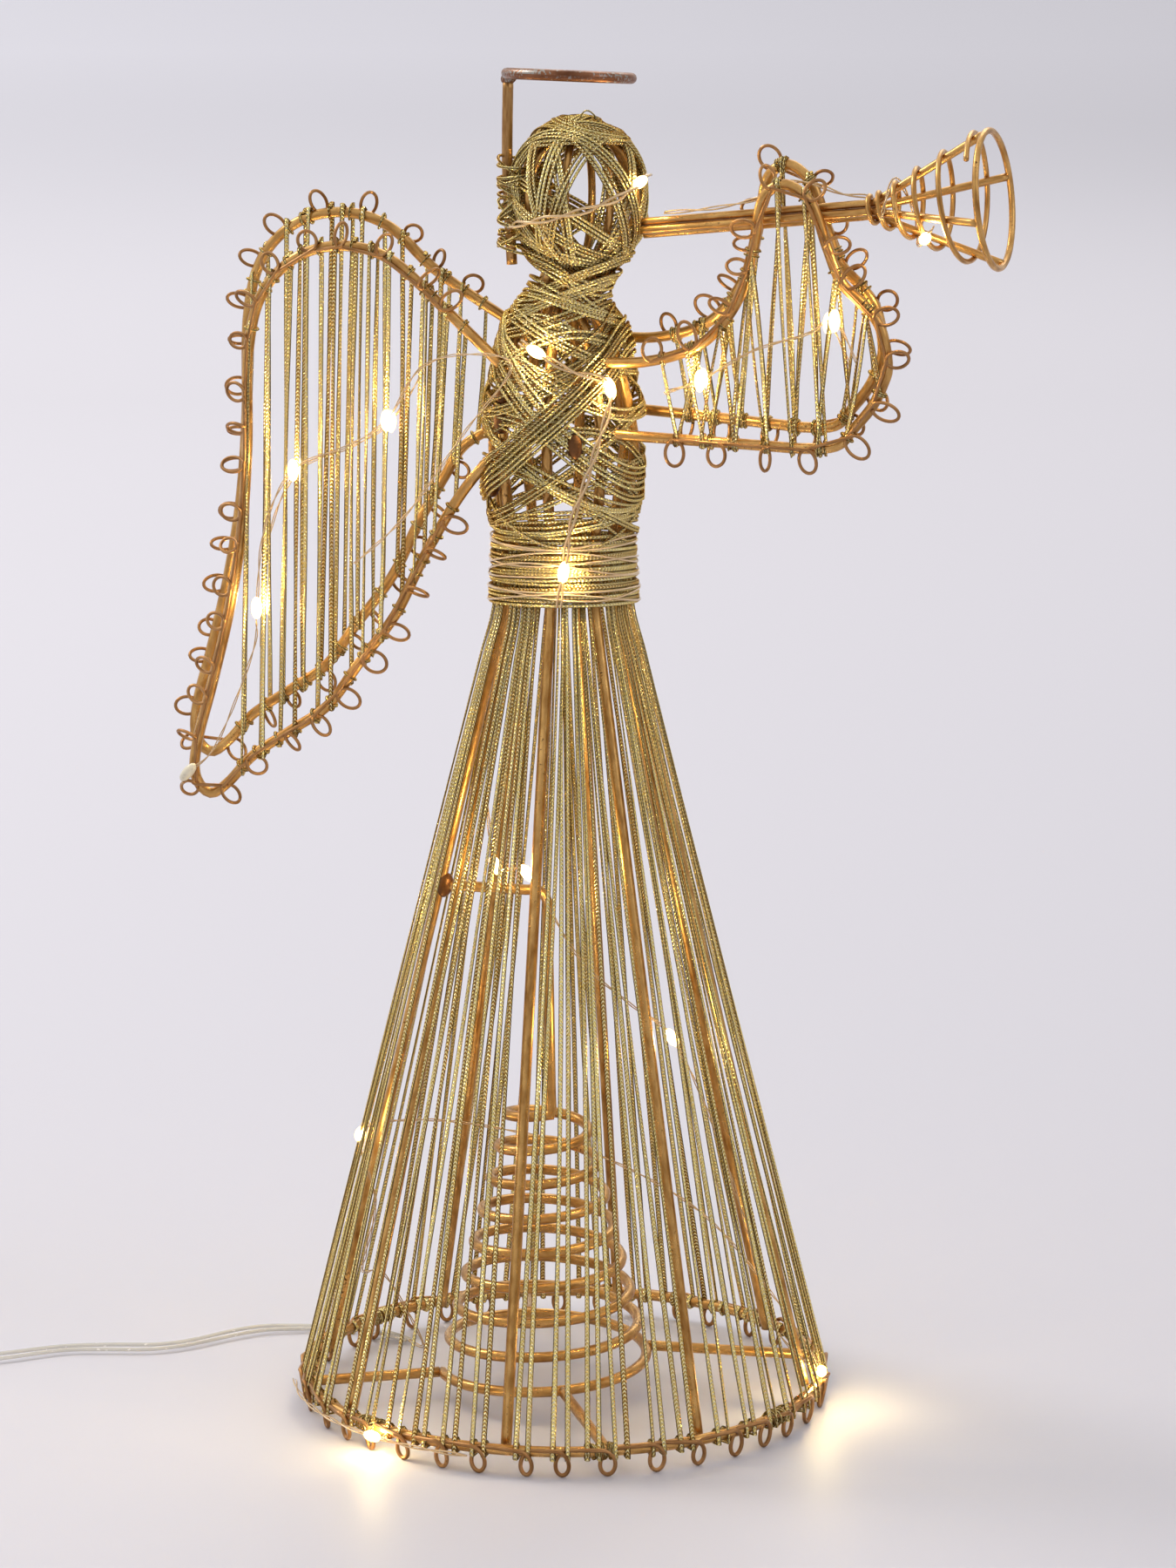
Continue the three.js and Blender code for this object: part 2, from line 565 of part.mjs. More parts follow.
addWound(
  'head_wrap',
  [
    ...headLoops(HEAD_LOOPS, HEAD_TILT, headInner, HEAD_WRAP_LOW, HEAD_WRAP_HIGH, 0),
    ...headLoops(HEAD_LOOPS, -HEAD_TILT, headOuter, 2 * HEAD_TILT, HEAD_WRAP_LOW, 0),
  ],
  THREAD,
  'thread',
);

// Halo ring on a post behind the head
const postBack = HEAD_FORWARD - HEAD_CAGE_RADIUS - headSurface - SEAT_GAP - ROD / 2;
const haloCentre = postBack + HALO_POST_BEND + HALO_RADIUS;
const halo = new THREE.TorusGeometry(HALO_RADIUS, ROD / 2, ROUND + 1, RIM_STEPS).rotateX(-HALO_LEAN);
add('halo_ring', halo.translate(haloCentre, 0, haloHeight), 'halo');
const postTop = haloHeight - ROD / 2 - SEAT_GAP - (ROD / 2) * Math.sin(HALO_LEAN);
const postLine = [
  vec(postBack + HALO_POST_BEND, 0, postTop),
  vec(postBack, 0, headHeight + HALO_POST_KNEE),
  vec(postBack, 0, headHeight - HALO_POST_DROP),
];
add('halo_post', tube(postLine, ROD / 2), 'halo');

// Trumpet: four rods that run together and splay into a bell, with a spiral and a rim
const mouthRise = TRUMPET_DROP / (HEAD_CAGE_HALF_HEIGHT + headSurface);
const faceForward = (HEAD_CAGE_RADIUS + headSurface) * Math.sqrt(1 - mouthRise ** 2);
const mouthForward = HEAD_FORWARD + faceForward + 2 * SEAT_GAP;
const trumpet = new THREE.Group();
trumpet.position.set(mouthForward, TRUMPET_SIDE, trumpetHeight);
trumpet.rotation.set(0, -TRUMPET_PITCH, TRUMPET_YAW, 'ZYX');
topper.add(trumpet);
const bundleRadius = (TRUMPET_ROD + SEAT_GAP) / Math.SQRT2;
const bundleReach = bundleRadius + TRUMPET_ROD / 2;
const bellEnd = TRUMPET_TUBE + BELL_LENGTH;
// Length of a bell rod over its run
const bellSlope = Math.hypot(1, (BELL_RADIUS - bundleRadius) / BELL_LENGTH);
const rodEnd = bellEnd - (BELL_WIRE / 2 + SEAT_GAP) / bellSlope;
// Distance of a bell rod from the trumpet's axis
const bellRadius = (x) => (x <= TRUMPET_TUBE
  ? bundleRadius
  : THREE.MathUtils.mapLinear(x, TRUMPET_TUBE, bellEnd, bundleRadius, BELL_RADIUS));
const around = (x, radius, angle) => vec(x, radius * Math.cos(angle), radius * Math.sin(angle));
for (let i = 0; i < 4; i += 1) {
  const angle = BELL_ROLL + (Math.PI / 2) * i;
  const line = [0, TRUMPET_TUBE, rodEnd].map((x) => around(x, bellRadius(x), angle));
  add(`trumpet_rod_${i + 1}`, tube(line, TRUMPET_ROD / 2), 'rod', trumpet);
}
const bellRim = new THREE.TorusGeometry(BELL_RADIUS, BELL_WIRE / 2, ROUND, RIM_STEPS).rotateY(Math.PI / 2);
add('bell_rim', bellRim.translate(bellEnd, 0, 0), 'rod', trumpet);
const bellSteps = 12;
const spiralOffset = (TRUMPET_ROD / 2 + SEAT_GAP + BELL_WIRE / 2) * bellSlope;
const spiralCorner = 1 / Math.cos(Math.PI / bellSteps);
const spiralStart = TRUMPET_TUBE + SPIRAL_START;
const spiralEnd = rodEnd - 2 * BELL_WIRE;
const spiralPath = [];
for (let k = 0; k <= BELL_TURNS * bellSteps; k += 1) {
  const x = THREE.MathUtils.lerp(spiralStart, spiralEnd, k / (BELL_TURNS * bellSteps));
  spiralPath.push(around(x, (bellRadius(x) + spiralOffset) * spiralCorner, (2 * Math.PI * k) / bellSteps));
}
addWound('bell_spiral', spiralPath, BELL_WIRE, 'rod', WIRE_SIDES, trumpet);

// Flat frames with strings and curls, drawn in an upright plane: the wings and the sleeves
const flat = (p) => new THREE.Vector2(p[0], p[1]);

// Points of an outline moved sideways; positive is to the left of its run
function shifted(points, distance) {
  return points.map((p, i) => {
    const before = points[i - 1] ?? p;
    const after = points[i + 1] ?? p;
    const into = p.clone().sub(before).normalize();
    const out = after.clone().sub(p).normalize();
    const run = into.clone().add(out).normalize();
    const reach = distance / Math.max(run.dot(into), run.dot(out));
    return new THREE.Vector2(p.x - run.y * reach, p.y + run.x * reach);
  });
}

// Lowest and highest crossing of an outline with an upright line
function crossings(points, x) {
  const heights = [];
  for (let i = 1; i < points.length; i += 1) {
    const [a, b] = [points[i - 1], points[i]];
    if ((a.x - x) * (b.x - x) <= 0 && a.x !== b.x) {
      heights.push(THREE.MathUtils.mapLinear(x, a.x, b.x, a.y, b.y));
    }
  }
  return [Math.min(...heights), Math.max(...heights)];
}

// Adds the frame, curls and strings of one wing or sleeve.
// place() puts a drawn point in space, and outSide points away from the figure's middle.
// inward is 1 where the outline runs with its inside on the left.
function addPanel(name, outline, place, outSide, inward, curls, curlSize, loops, string, laceFrom, laceTo) {
  const frame = new THREE.SplineCurve(outline).getSpacedPoints(FRAME_STEPS);
  add(`${name}_frame`, tube(frame.map(place), ROD / 2), 'rod');

  const beside = outSide.clone().multiplyScalar(ROD / 2 + SEAT_GAP + CURL_WIRE / 2);
  const rim = new THREE.SplineCurve(outline);
  const origin = place(new THREE.Vector2(0, 0));
  const direction = (v) => place(v).sub(origin).normalize();
  const edge = (t) => {
    const at = THREE.MathUtils.lerp(CURL_MARGIN, 1 - CURL_MARGIN, t);
    const run = rim.getTangentAt(at);
    return {
      point: place(rim.getPointAt(at)).add(beside),
      along: direction(run),
      out: direction(new THREE.Vector2(run.y * inward, -run.x * inward)),
      side: outSide,
    };
  };
  addWound(`${name}_curls`, curlPath(edge, curls, curlSize, curlSize + ROD / 2, true), CURL_WIRE, 'curl');

  const lacing = shifted(frame, inward * (ROD / 2 + SEAT_GAP + string * LACE_CLEAR));
  const strands = Array.from({ length: 2 * loops }, (_, i) => {
    const x = THREE.MathUtils.lerp(laceFrom, laceTo, i / (2 * loops - 1));
    const [low, high] = crossings(lacing, x);
    return { x, low, high };
  });
  strands.forEach((strand, i) => {
    const pair = strands[i + 1] ?? strand;
    const turn = i % 2 ? 'low' : 'high';
    const level = i % 2 ? Math.max(strand.low, pair.low) : Math.min(strand.high, pair.high);
    strand[turn] = level;
    pair[turn] = level;
  });
  const path = strands.flatMap(({ x, low, high }, i) => {
    const run = [place(new THREE.Vector2(x, low)), place(new THREE.Vector2(x, high))];
    return i % 2 ? run.reverse() : run;
  });
  addWound(`${name}_strings`, path, string, 'thread');
}

// Distance from the axis where the end of a rod in the plane y stops short of the nearest rib.
// slope is the rise of the rod's first stretch over its length.
function ribSeat(y, z, slope) {
  const rib = ribRadius(z) * Math.SQRT1_2;
  const aside = Math.max(0, Math.abs(Math.abs(y) - rib) - ROD / 2);
  const reach = ROD / 2 + SEAT_GAP;
  return rib + Math.sqrt(Math.max(0, reach ** 2 - aside ** 2)) + (ROD / 2) * slope;
}

// The same for a rod that stops outside the thread of the chest
function wrapSeat(y, z, slope) {
  const aside = Math.abs(y) - ROD / 2;
  return Math.sqrt((bodyRadius(z, torsoSurface) + SEAT_GAP) ** 2 - aside ** 2) + (ROD / 2) * slope;
}

const SIDES = [['right', -1], ['left', 1]];
for (const [side, sign] of SIDES) {
  const y = (sign * WING_SPACING) / 2;
  const back = -sign * WING_SET_BACK;
  const lift = sign * WING_LIFT;
  const upper = shoulderHeight + lift;
  const lower = upper - WING_FOOT_DROP;
  // The left lower rod comes in between the two layers of thread, the right one meets a layer
  const lowerSeat = sign > 0 ? ribSeat : wrapSeat;
  const outline = [
    [-ribSeat(y, upper, WING_ROOT_SLOPE), upper],
    ...WING_OUTLINE.map(([x, z]) => [x + back, z + upper]),
    [-lowerSeat(y, lower, WING_ROOT_SLOPE), lower],
  ];
  addPanel(
    `${side}_wing`,
    outline.map(flat),
    (p) => vec(p.x, y, p.y),
    vec(0, sign, 0),
    1,
    WING_CURLS,
    WING_CURL_SIZE,
    WING_LOOPS,
    WING_STRING,
    WING_LACE_BACK + back,
    WING_LACE_FRONT + Math.min(back, 0),
  );
}

const trumpetSideAt = (x) => TRUMPET_SIDE + (x - mouthForward) * Math.tan(TRUMPET_YAW);
for (const [side, sign] of SIDES) {
  const body = (sign * SLEEVE_SPACING) / 2;
  const hand = trumpetSideAt(SLEEVE_HOLD) + sign * (bundleReach + HAND_GAP + ROD / 2);
  const turn = Math.atan2(hand - body, SLEEVE_HOLD);
  const lift = sign * SLEEVE_LIFT;
  const upper = sleeveRoot + lift;
  const lower = upper - SLEEVE_FOOT_DROP;
  const seat = (z) => ribSeat(body + CHEST_RADIUS * Math.SQRT1_2 * Math.tan(turn), z, 0) / Math.cos(turn);
  const outline = [
    [seat(upper), upper],
    ...SLEEVE_OUTLINE.map(([x, z]) => [x, z + upper]),
    [seat(lower), lower],
  ];
  addPanel(
    `${side}_sleeve`,
    outline.map(flat),
    (p) => vec(p.x * Math.cos(turn), body + p.x * Math.sin(turn), p.y),
    vec(-sign * Math.sin(turn), sign * Math.cos(turn), 0),
    -1,
    SLEEVE_CURLS,
    SLEEVE_CURL_SIZE,
    SLEEVE_LOOPS,
    SLEEVE_STRING,
    SLEEVE_LACE_START,
    SLEEVE_LACE_END,
  );
}

// Tree mount: spiral, riser and bar in one wire, and four spokes to the hoop
const coilSteps = 12;
const coilCorner = 1 / Math.cos(Math.PI / coilSteps);
const coilPath = [];
const coilLast = Math.round(COIL_TURNS * coilSteps);
function coilPoint(turns, radiusShift = 0) {
  const radius = THREE.MathUtils.lerp(COIL_BASE_RADIUS, COIL_TOP_RADIUS, turns / COIL_TURNS) + radiusShift;
  const point = polar(radius, COIL_START + 2 * Math.PI * turns, HOOP_HEIGHT + COIL_PITCH * turns);
  return point.add(vec(COIL_CENTRE, 0, 0));
}
for (let k = 0; k <= coilLast; k += 1) {
  coilPath.push(coilPoint(k / coilSteps));
}
const barBack = ribRadius(BAR_HEIGHT) - (ROD + SEAT_GAP) / Math.cos(ribLean);
coilPath.push(vec(BAR_START.x, BAR_START.y, BAR_HEIGHT), vec(-barBack, 0, BAR_HEIGHT));
addWound('mount_coil', coilPath, ROD, 'rod', ROUND);
for (let i = 0; i < SPOKES; i += 1) {
  const turns = i / SPOKES;
  const inner = coilPoint(turns, (ROD / 2) * coilCorner + SEAT_GAP);
  const angle = COIL_START + 2 * Math.PI * turns;
  const outer = polar(HOOP_RADIUS - ROD / 2 - SEAT_GAP, angle, HOOP_HEIGHT);
  add(`coil_spoke_${i + 1}`, tube([inner, outer], ROD / 2), 'rod');
}

// Lights: a thin wire that swells into a drop at each listed point
function addLights(name, points, drops, parent = topper) {
  const path = [];
  const radii = [];
  points.forEach((point, i) => {
    if (!drops.includes(i)) {
      path.push(point);
      radii.push(LIGHT_WIRE / 2);
      return;
    }
    const before = points[Math.max(i - 1, 0)];
    const after = points[Math.min(i + 1, points.length - 1)];
    const run = after.clone().sub(before).normalize();
    for (const [along, swell] of DROP_PROFILE) {
      path.push(point.clone().addScaledVector(run, along * LIGHT_DROP_LENGTH));
      radii.push(Math.max(LIGHT_WIRE, swell * LIGHT_DROP) / 2);
    }
  });
  return add(name, tube(path, (i) => radii[i], ROUND), 'light', parent);
}

const dropClear = SEAT_GAP + LIGHT_DROP / 2;
// Places of a light string on the right side, or moved by the shift for the left side
const moved = (places, sign, [dx, dz]) => places.map(([x, z]) => (sign > 0 ? [x + dx, z + dz] : [x, z]));
for (const [side, sign] of SIDES) {
  const y = sign * (WING_SPACING / 2 + WING_STRING / 2 + dropClear);
  const onWing = moved(WING_LIGHTS, sign, WING_LIGHT_SHIFT);
  addLights(`lights_${side}_wing`, onWing.map(([x, z]) => vec(x, y, shoulderHeight + z)), WING_DROPS);
  const body = (sign * SLEEVE_SPACING) / 2;
  const hand = trumpetSideAt(SLEEVE_HOLD) + sign * (bundleReach + HAND_GAP + ROD / 2);
  const lean = (hand - body) / SLEEVE_HOLD;
  const off = sign * (SLEEVE_STRING / 2 + dropClear) * Math.hypot(1, lean);
  const onSleeve = moved(SLEEVE_LIGHTS, sign, SLEEVE_LIGHT_SHIFT);
  addLights(
    `lights_${side}_sleeve`,
    onSleeve.map(([x, z]) => vec(x, body + lean * x + off, sleeveRoot + z)),
    SLEEVE_DROPS,
  );
}

function headSpot(angle, z) {
  const rise = (z - headHeight) / (HEAD_CAGE_HALF_HEIGHT + headSurface);
  const radius = (HEAD_CAGE_RADIUS + headSurface) * Math.sqrt(1 - rise ** 2) + dropClear - HEAD_LIGHT_TUCK;
  return polar(radius, angle, z).add(vec(HEAD_FORWARD, 0, 0));
}
addLights(
  'lights_head',
  HEAD_LIGHT_ANGLES.map((a, i) => headSpot(RAD(a), headHeight - HEAD_LIGHT_START + HEAD_LIGHT_CLIMB * i)),
  HEAD_DROPS,
);
const torsoSpot = (angle, z) => polar(bodyRadius(z, torsoSurface) + dropClear, angle, z);
addLights(
  'lights_torso',
  TORSO_LIGHT_ANGLES.map((a, i) => torsoSpot(RAD(a), chestHeight + TORSO_LIGHT_RISES[i])),
  TORSO_DROPS,
);
const bellSide = (x) => bellRadius(x) + spiralOffset + BELL_WIRE + dropClear;
const bellSpot = (x, angle) => around(x, bellSide(x), angle);
addLights(
  'lights_trumpet',
  BELL_LIGHTS.map((x, i) => bellSpot(TRUMPET_TUBE + x, RAD(BELL_LIGHT_ANGLES[i]))),
  BELL_DROPS,
  trumpet,
);

// Lights inside the skirt wind down behind the ribs
const leadStart = flat(LEAD_ROUTE[0]);
const leadHeading = flat(LEAD_ROUTE[1]).sub(leadStart).normalize();
const origin = new THREE.Vector2(0, 0);
const joinLead = leadStart.clone().addScaledVector(leadHeading, -SEAT_GAP).rotateAround(origin, LEAD_TURN);
const nearLead = leadStart.clone().addScaledVector(leadHeading, -4 * LEAD).rotateAround(origin, LEAD_TURN);
const skirtLights = SKIRT_LIGHTS.map(([angle, share]) => {
  const z = THREE.MathUtils.lerp(HOOP_HEIGHT, WAIST_LOW, share);
  return polar(ribRadius(z) - (ROD / 2 + dropClear) / Math.cos(ribLean), RAD(angle), z);
});
skirtLights.push(vec(nearLead.x, nearLead.y, LEAD), vec(joinLead.x, joinLead.y, LEAD / 2 + LEAD_REST));
addLights('lights_skirt', skirtLights, SKIRT_DROPS);

// Lights outside the hem
const hemLightRadius = HOOP_RADIUS + ROD / 2 + dropClear;
addLights(
  'lights_hem',
  HEM_LIGHT_ANGLES.map((a) => polar(hemLightRadius, RAD(a), HOOP_HEIGHT - HEM_LIGHT_DROP)),
  HEM_DROPS,
);

// Lead: laid along the floor to a small coil, tied, and into the battery box
const leadFrame = new THREE.Group();
leadFrame.rotation.z = LEAD_TURN;
topper.add(leadFrame);
const coilLift = TIE_THICKNESS + SEAT_GAP;
const coilLow = coilLift + LEAD / 2;
const coilHigh = coilLow + LEAD + TURN_GAP;
const coilMiddle = LEAD_COIL_CENTRE;
const leadEnd = new THREE.Vector2(coilMiddle.x + LEAD, coilMiddle.y - LEAD_COIL_RADIUS);
const leadLine = new THREE.CatmullRomCurve3([
  ...LEAD_ROUTE.slice(0, -1).map(([x, y]) => vec(x, y, LEAD / 2 + LEAD_REST)),
  vec(...LEAD_ROUTE[LEAD_ROUTE.length - 1], coilLow - LEAD_REST),
  vec(leadEnd.x + LEAD, leadEnd.y, coilLow),
  vec(leadEnd.x + SEAT_GAP, leadEnd.y, coilLow),
]);
const leadSides = 8;
const leadSection = new THREE.Shape(Array.from({ length: leadSides }, (_, k) => {
  const angle = (2 * Math.PI * k) / leadSides;
  return flat([(LEAD / 2) * Math.cos(angle), (LEAD / 2) * Math.sin(angle)]);
}));
const leadShape = { steps: LEAD_STEPS, extrudePath: leadLine };
add('lead_cord', new THREE.ExtrudeGeometry(leadSection, leadShape), 'lead', leadFrame);

const leadSteps = 12;
const leadPitch = LEAD + TURN_GAP + LEAD_COIL_SLACK;
const leadPath = [vec(leadEnd.x, leadEnd.y, coilLow)];
const leadCount = Math.round(LEAD_COIL_TURNS * leadSteps);
for (let k = 0; k <= leadCount; k += 1) {
  const turns = k / leadSteps;
  const half = LEAD_COIL_TURNS / 2;
  const inward = half - Math.abs(turns - half);
  const climb = THREE.MathUtils.clamp((turns - half) / LEAD_COIL_CLIMB + 0.5, 0, 1);
  const angle = -Math.PI / 2 - 2 * Math.PI * turns;
  const height = THREE.MathUtils.lerp(coilLow, coilHigh, climb);
  const point = polar(LEAD_COIL_RADIUS - leadPitch * inward, angle, height);
  leadPath.push(point.add(vec(coilMiddle.x, coilMiddle.y, 0)));
}
const boxFront = coilMiddle.y + BOX_STANDOFF;
const tail = leadPath[leadPath.length - 1];
leadPath.push(vec(tail.x, boxFront - SEAT_GAP, tail.z));
addWound('lead_coil', leadPath, LEAD, 'lead', ROUND, leadFrame);

// Tie: a flat band round the coil's turns
const tieIn = LEAD_COIL_RADIUS - leadPitch * Math.ceil(LEAD_COIL_TURNS / 2) - LEAD / 2;
const tieOut = LEAD_COIL_RADIUS + LEAD / 2 + 2 * SEAT_GAP;
const tieTop = coilHigh + LEAD / 2 + SEAT_GAP;
const oblong = (x0, y0, x1, y1) => [[x0, y0], [x1, y0], [x1, y1], [x0, y1]].map(flat);
const tieShape = new THREE.Shape(
  oblong(tieIn - TIE_THICKNESS, 0, tieOut + TIE_THICKNESS, tieTop + TIE_THICKNESS),
);
tieShape.holes.push(new THREE.Path(oblong(tieIn, TIE_THICKNESS, tieOut, tieTop)));
const tie = new THREE.ExtrudeGeometry(tieShape, { depth: TIE_WIDTH, bevelEnabled: false })
  .translate(0, 0, -TIE_WIDTH / 2)
  .rotateX(Math.PI / 2)
  .rotateZ(TIE_ANGLE)
  .translate(coilMiddle.x, coilMiddle.y, 0);
add('coil_tie', tie, 'box', leadFrame);

// Battery box: a tray with a switch block, two cells and a cover that slides out lengthways
const box = new THREE.Group();
box.position.set(tail.x, boxFront, 0);
leadFrame.add(box);
const bay = 4 * CELL_RADIUS + 3 * CELL_PLAY;
const bayLength = CELL_LENGTH + CELL_NUB + 2 * CELL_PLAY;
const boxHalf = bay / 2 + BOX_WALL;
const boxLength = BOX_END_BLOCK + bayLength + BOX_WALL;
const bayTop = BOX_WALL + 2 * CELL_RADIUS + 2 * CELL_PLAY;
const slotTop = bayTop + COVER_THICKNESS + 2 * COVER_PLAY;
const boxTop = slotTop + COVER_LIP;
const past = 5; // how far a cut runs past the face that it opens
const grooveHalf = bay / 2 + COVER_GROOVE;
const coverHalf = grooveHalf - COVER_PLAY;
const switchMiddle = BOX_END_BLOCK / 2;
const pocketHalf = (SWITCH_LENGTH + SWITCH_TRAVEL) / 2 + SWITCH_PLAY;
const pocketSide = SWITCH_WIDTH / 2 + SWITCH_PLAY;
const cuts = [
  block(vec(-bay / 2, BOX_END_BLOCK, BOX_WALL), vec(bay / 2, BOX_END_BLOCK + bayLength, boxTop + past)),
  block(vec(-grooveHalf, BOX_END_BLOCK, bayTop), vec(grooveHalf, boxLength + past, slotTop)),
  block(vec(-bay / 2, BOX_END_BLOCK, bayTop), vec(bay / 2, boxLength + past, boxTop + past)),
  block(
    vec(-pocketHalf, switchMiddle - pocketSide, boxTop - SWITCH_DEPTH - SWITCH_PLAY),
    vec(pocketHalf, switchMiddle + pocketSide, boxTop + past),
  ),
];
let tray = solid(block(vec(-boxHalf, 0, 0), vec(boxHalf, boxLength, boxTop)));
for (const cut of cuts) {
  tray = tray.subtract(solid(cut));
}
add('battery_box', surface(tray), 'box', box);

const coverLow = bayTop + COVER_PLAY;
const coverTop = coverLow + COVER_THICKNESS;
const coverPlate = block(
  vec(-coverHalf, BOX_END_BLOCK + COVER_PLAY, coverLow),
  vec(coverHalf, boxLength, coverTop),
);
let cover = solid(coverPlate);
for (let i = 0; i < GRIP_RIDGES; i += 1) {
  const y = boxLength - GRIP_INSET - GRIP_PITCH * i;
  const ridge = block(
    vec(-GRIP_LENGTH / 2, y - GRIP_WIDTH / 2, coverLow + JOIN),
    vec(GRIP_LENGTH / 2, y + GRIP_WIDTH / 2, coverTop + GRIP_RIDGE),
  );
  cover = cover.add(solid(ridge));
}
add('battery_cover', surface(cover), 'box', box);

const switchLeft = -(SWITCH_LENGTH + SWITCH_TRAVEL) / 2;
const knobLeft = switchLeft + (SWITCH_LENGTH - SWITCH_KNOB) / 2;
const slide = solid(block(
  vec(switchLeft, switchMiddle - SWITCH_WIDTH / 2, boxTop - SWITCH_DEPTH),
  vec(switchLeft + SWITCH_LENGTH, switchMiddle + SWITCH_WIDTH / 2, boxTop - SWITCH_SINK),
));
const knob = solid(block(
  vec(knobLeft, switchMiddle - SWITCH_WIDTH / 2 + KNOB_INSET, boxTop - SWITCH_DEPTH + JOIN),
  vec(knobLeft + SWITCH_KNOB, switchMiddle + SWITCH_WIDTH / 2 - KNOB_INSET, boxTop + KNOB_RISE),
));
add('switch_slider', surface(slide.add(knob)), 'cell', box);

for (let i = 0; i < 2; i += 1) {
  const nubEnd = CELL_LENGTH + CELL_NUB;
  const outline = [
    [0, 0],
    [CELL_RADIUS, 0],
    [CELL_RADIUS, CELL_LENGTH],
    [CELL_NUB_RADIUS, CELL_LENGTH],
    [CELL_NUB_RADIUS, nubEnd],
    [0, nubEnd],
  ];
  const cell = new THREE.LatheGeometry(outline.map(flat), CELL_STEPS);
  const turned = i ? cell.rotateX(Math.PI).translate(0, nubEnd, 0) : cell;
  const x = (i ? 1 : -1) * (CELL_RADIUS + CELL_PLAY / 2);
  const placed = turned.translate(x, BOX_END_BLOCK + CELL_PLAY, BOX_WALL + SEAT_GAP + CELL_RADIUS);
  add(`battery_${i + 1}`, placed, 'cell', box);
}

export default topper;
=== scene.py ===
"""Angel tree topper: a gold wire figure laced with braided thread, strung with small warm lights.

Sizes are in millimetres in the shared frame: +Z up, the figure faces +X, its left is +Y.
"""

import logging
import math
from dataclasses import dataclass, field
from enum import Enum
from typing import Any, Iterable, Sequence

import bpy
import numpy as np
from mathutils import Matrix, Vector


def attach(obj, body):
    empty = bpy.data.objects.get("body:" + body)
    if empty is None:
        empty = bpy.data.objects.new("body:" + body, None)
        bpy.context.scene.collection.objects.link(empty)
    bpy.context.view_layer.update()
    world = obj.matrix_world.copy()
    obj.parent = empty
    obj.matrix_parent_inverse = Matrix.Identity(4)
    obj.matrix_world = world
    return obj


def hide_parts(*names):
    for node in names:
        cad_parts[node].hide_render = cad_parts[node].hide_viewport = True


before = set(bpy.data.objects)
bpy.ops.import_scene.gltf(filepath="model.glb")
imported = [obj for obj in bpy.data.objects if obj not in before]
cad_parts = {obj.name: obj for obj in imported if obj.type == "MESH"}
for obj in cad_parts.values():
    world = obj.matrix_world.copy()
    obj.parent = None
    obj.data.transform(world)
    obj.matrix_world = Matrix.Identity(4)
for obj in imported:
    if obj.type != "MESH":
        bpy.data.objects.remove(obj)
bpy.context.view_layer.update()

Array = np.ndarray
Colour = tuple[float, float, float, float]
Pair = tuple[float, float]
Triple = tuple[float, float, float]
MM = 0.001
LOG = logging.getLogger("topper")
UP = np.array([0.0, 0.0, 1.0])
NEARLY_UPRIGHT = 0.9
TURN = 2 * math.pi


class Body(Enum):
    """Rigid bodies that pieces ride on."""

    TOPPER = "topper"
    COVER = "cover"
    SWITCH = "switch"


class Slot(Enum):
    """Material slots of the record."""

    ROD = "gold_rod"
    CURL = "copper_curl"
    HALO = "halo_rod"
    THREAD = "metallic_thread"
    LIGHT = "light_string"
    LEAD = "clear_lead"
    BOX = "box_plastic"
    SWITCH = "switch_plastic"
    CELL = "cell_sleeve"


class Side(Enum):
    """Sides of the figure, valued by the sign of Y."""

    RIGHT = -1
    LEFT = 1


def srgb(red: int, green: int, blue: int) -> Colour:
    """Turns a screen colour into a linear one.

    Args:
        red: Red, 0 to 255.
        green: Green, 0 to 255.
        blue: Blue, 0 to 255.

    Returns:
        Linear colour with full alpha.
    """

    def linear(value: int) -> float:
        """Linear value of one channel."""
        part = value / 255
        return part / 12.92 if part <= 0.04045 else ((part + 0.055) / 1.055) ** 2.4

    return linear(red), linear(green), linear(blue), 1.0


def vec(x: float, y: float, z: float) -> Array:
    """Point or direction as an array."""
    return np.array([x, y, z], dtype=float)


def polar(radius: float, angle: float, z: float) -> Array:
    """Point at a radius and an angle in radians about Z."""
    return vec(radius * math.cos(angle), radius * math.sin(angle), z)


def unit(vector: Array) -> Array:
    """Direction of a vector."""
    return vector / np.linalg.norm(vector)


def units(vectors: Array) -> Array:
    """Direction of each of several vectors."""
    return vectors / np.linalg.norm(vectors, axis=1)[:, None]


def square_to(direction: Array) -> Array:
    """Vector at right angles to a direction, level unless that is nearly upright."""
    return np.cross(direction, UP if abs(direction[2]) < NEARLY_UPRIGHT else vec(1, 0, 0))


def angles(count: int) -> Array:
    """Angles evenly spaced round a circle, in radians."""
    return np.linspace(0, TURN, count, endpoint=False)


def distances(line: Array) -> Array:
    """Distance of each point along a line, from 0 at its start."""
    return np.concatenate([[0.0], np.cumsum(np.linalg.norm(np.diff(line, axis=0), axis=1))])


def resample(points: Iterable[Array], step: float) -> Array:
    """Spaces the points of a line evenly.

    Args:
        points: Corners of the line.
        step: Wanted distance between two points.

    Returns:
        Points along the line, its two ends included.
    """
    line = np.asarray(list(points), dtype=float)
    run = distances(line)
    count = max(2, int(round(run[-1] / step)) + 1)
    at = np.linspace(0.0, run[-1], count)
    return np.stack([np.interp(at, run, line[:, i]) for i in range(line.shape[1])], axis=1)


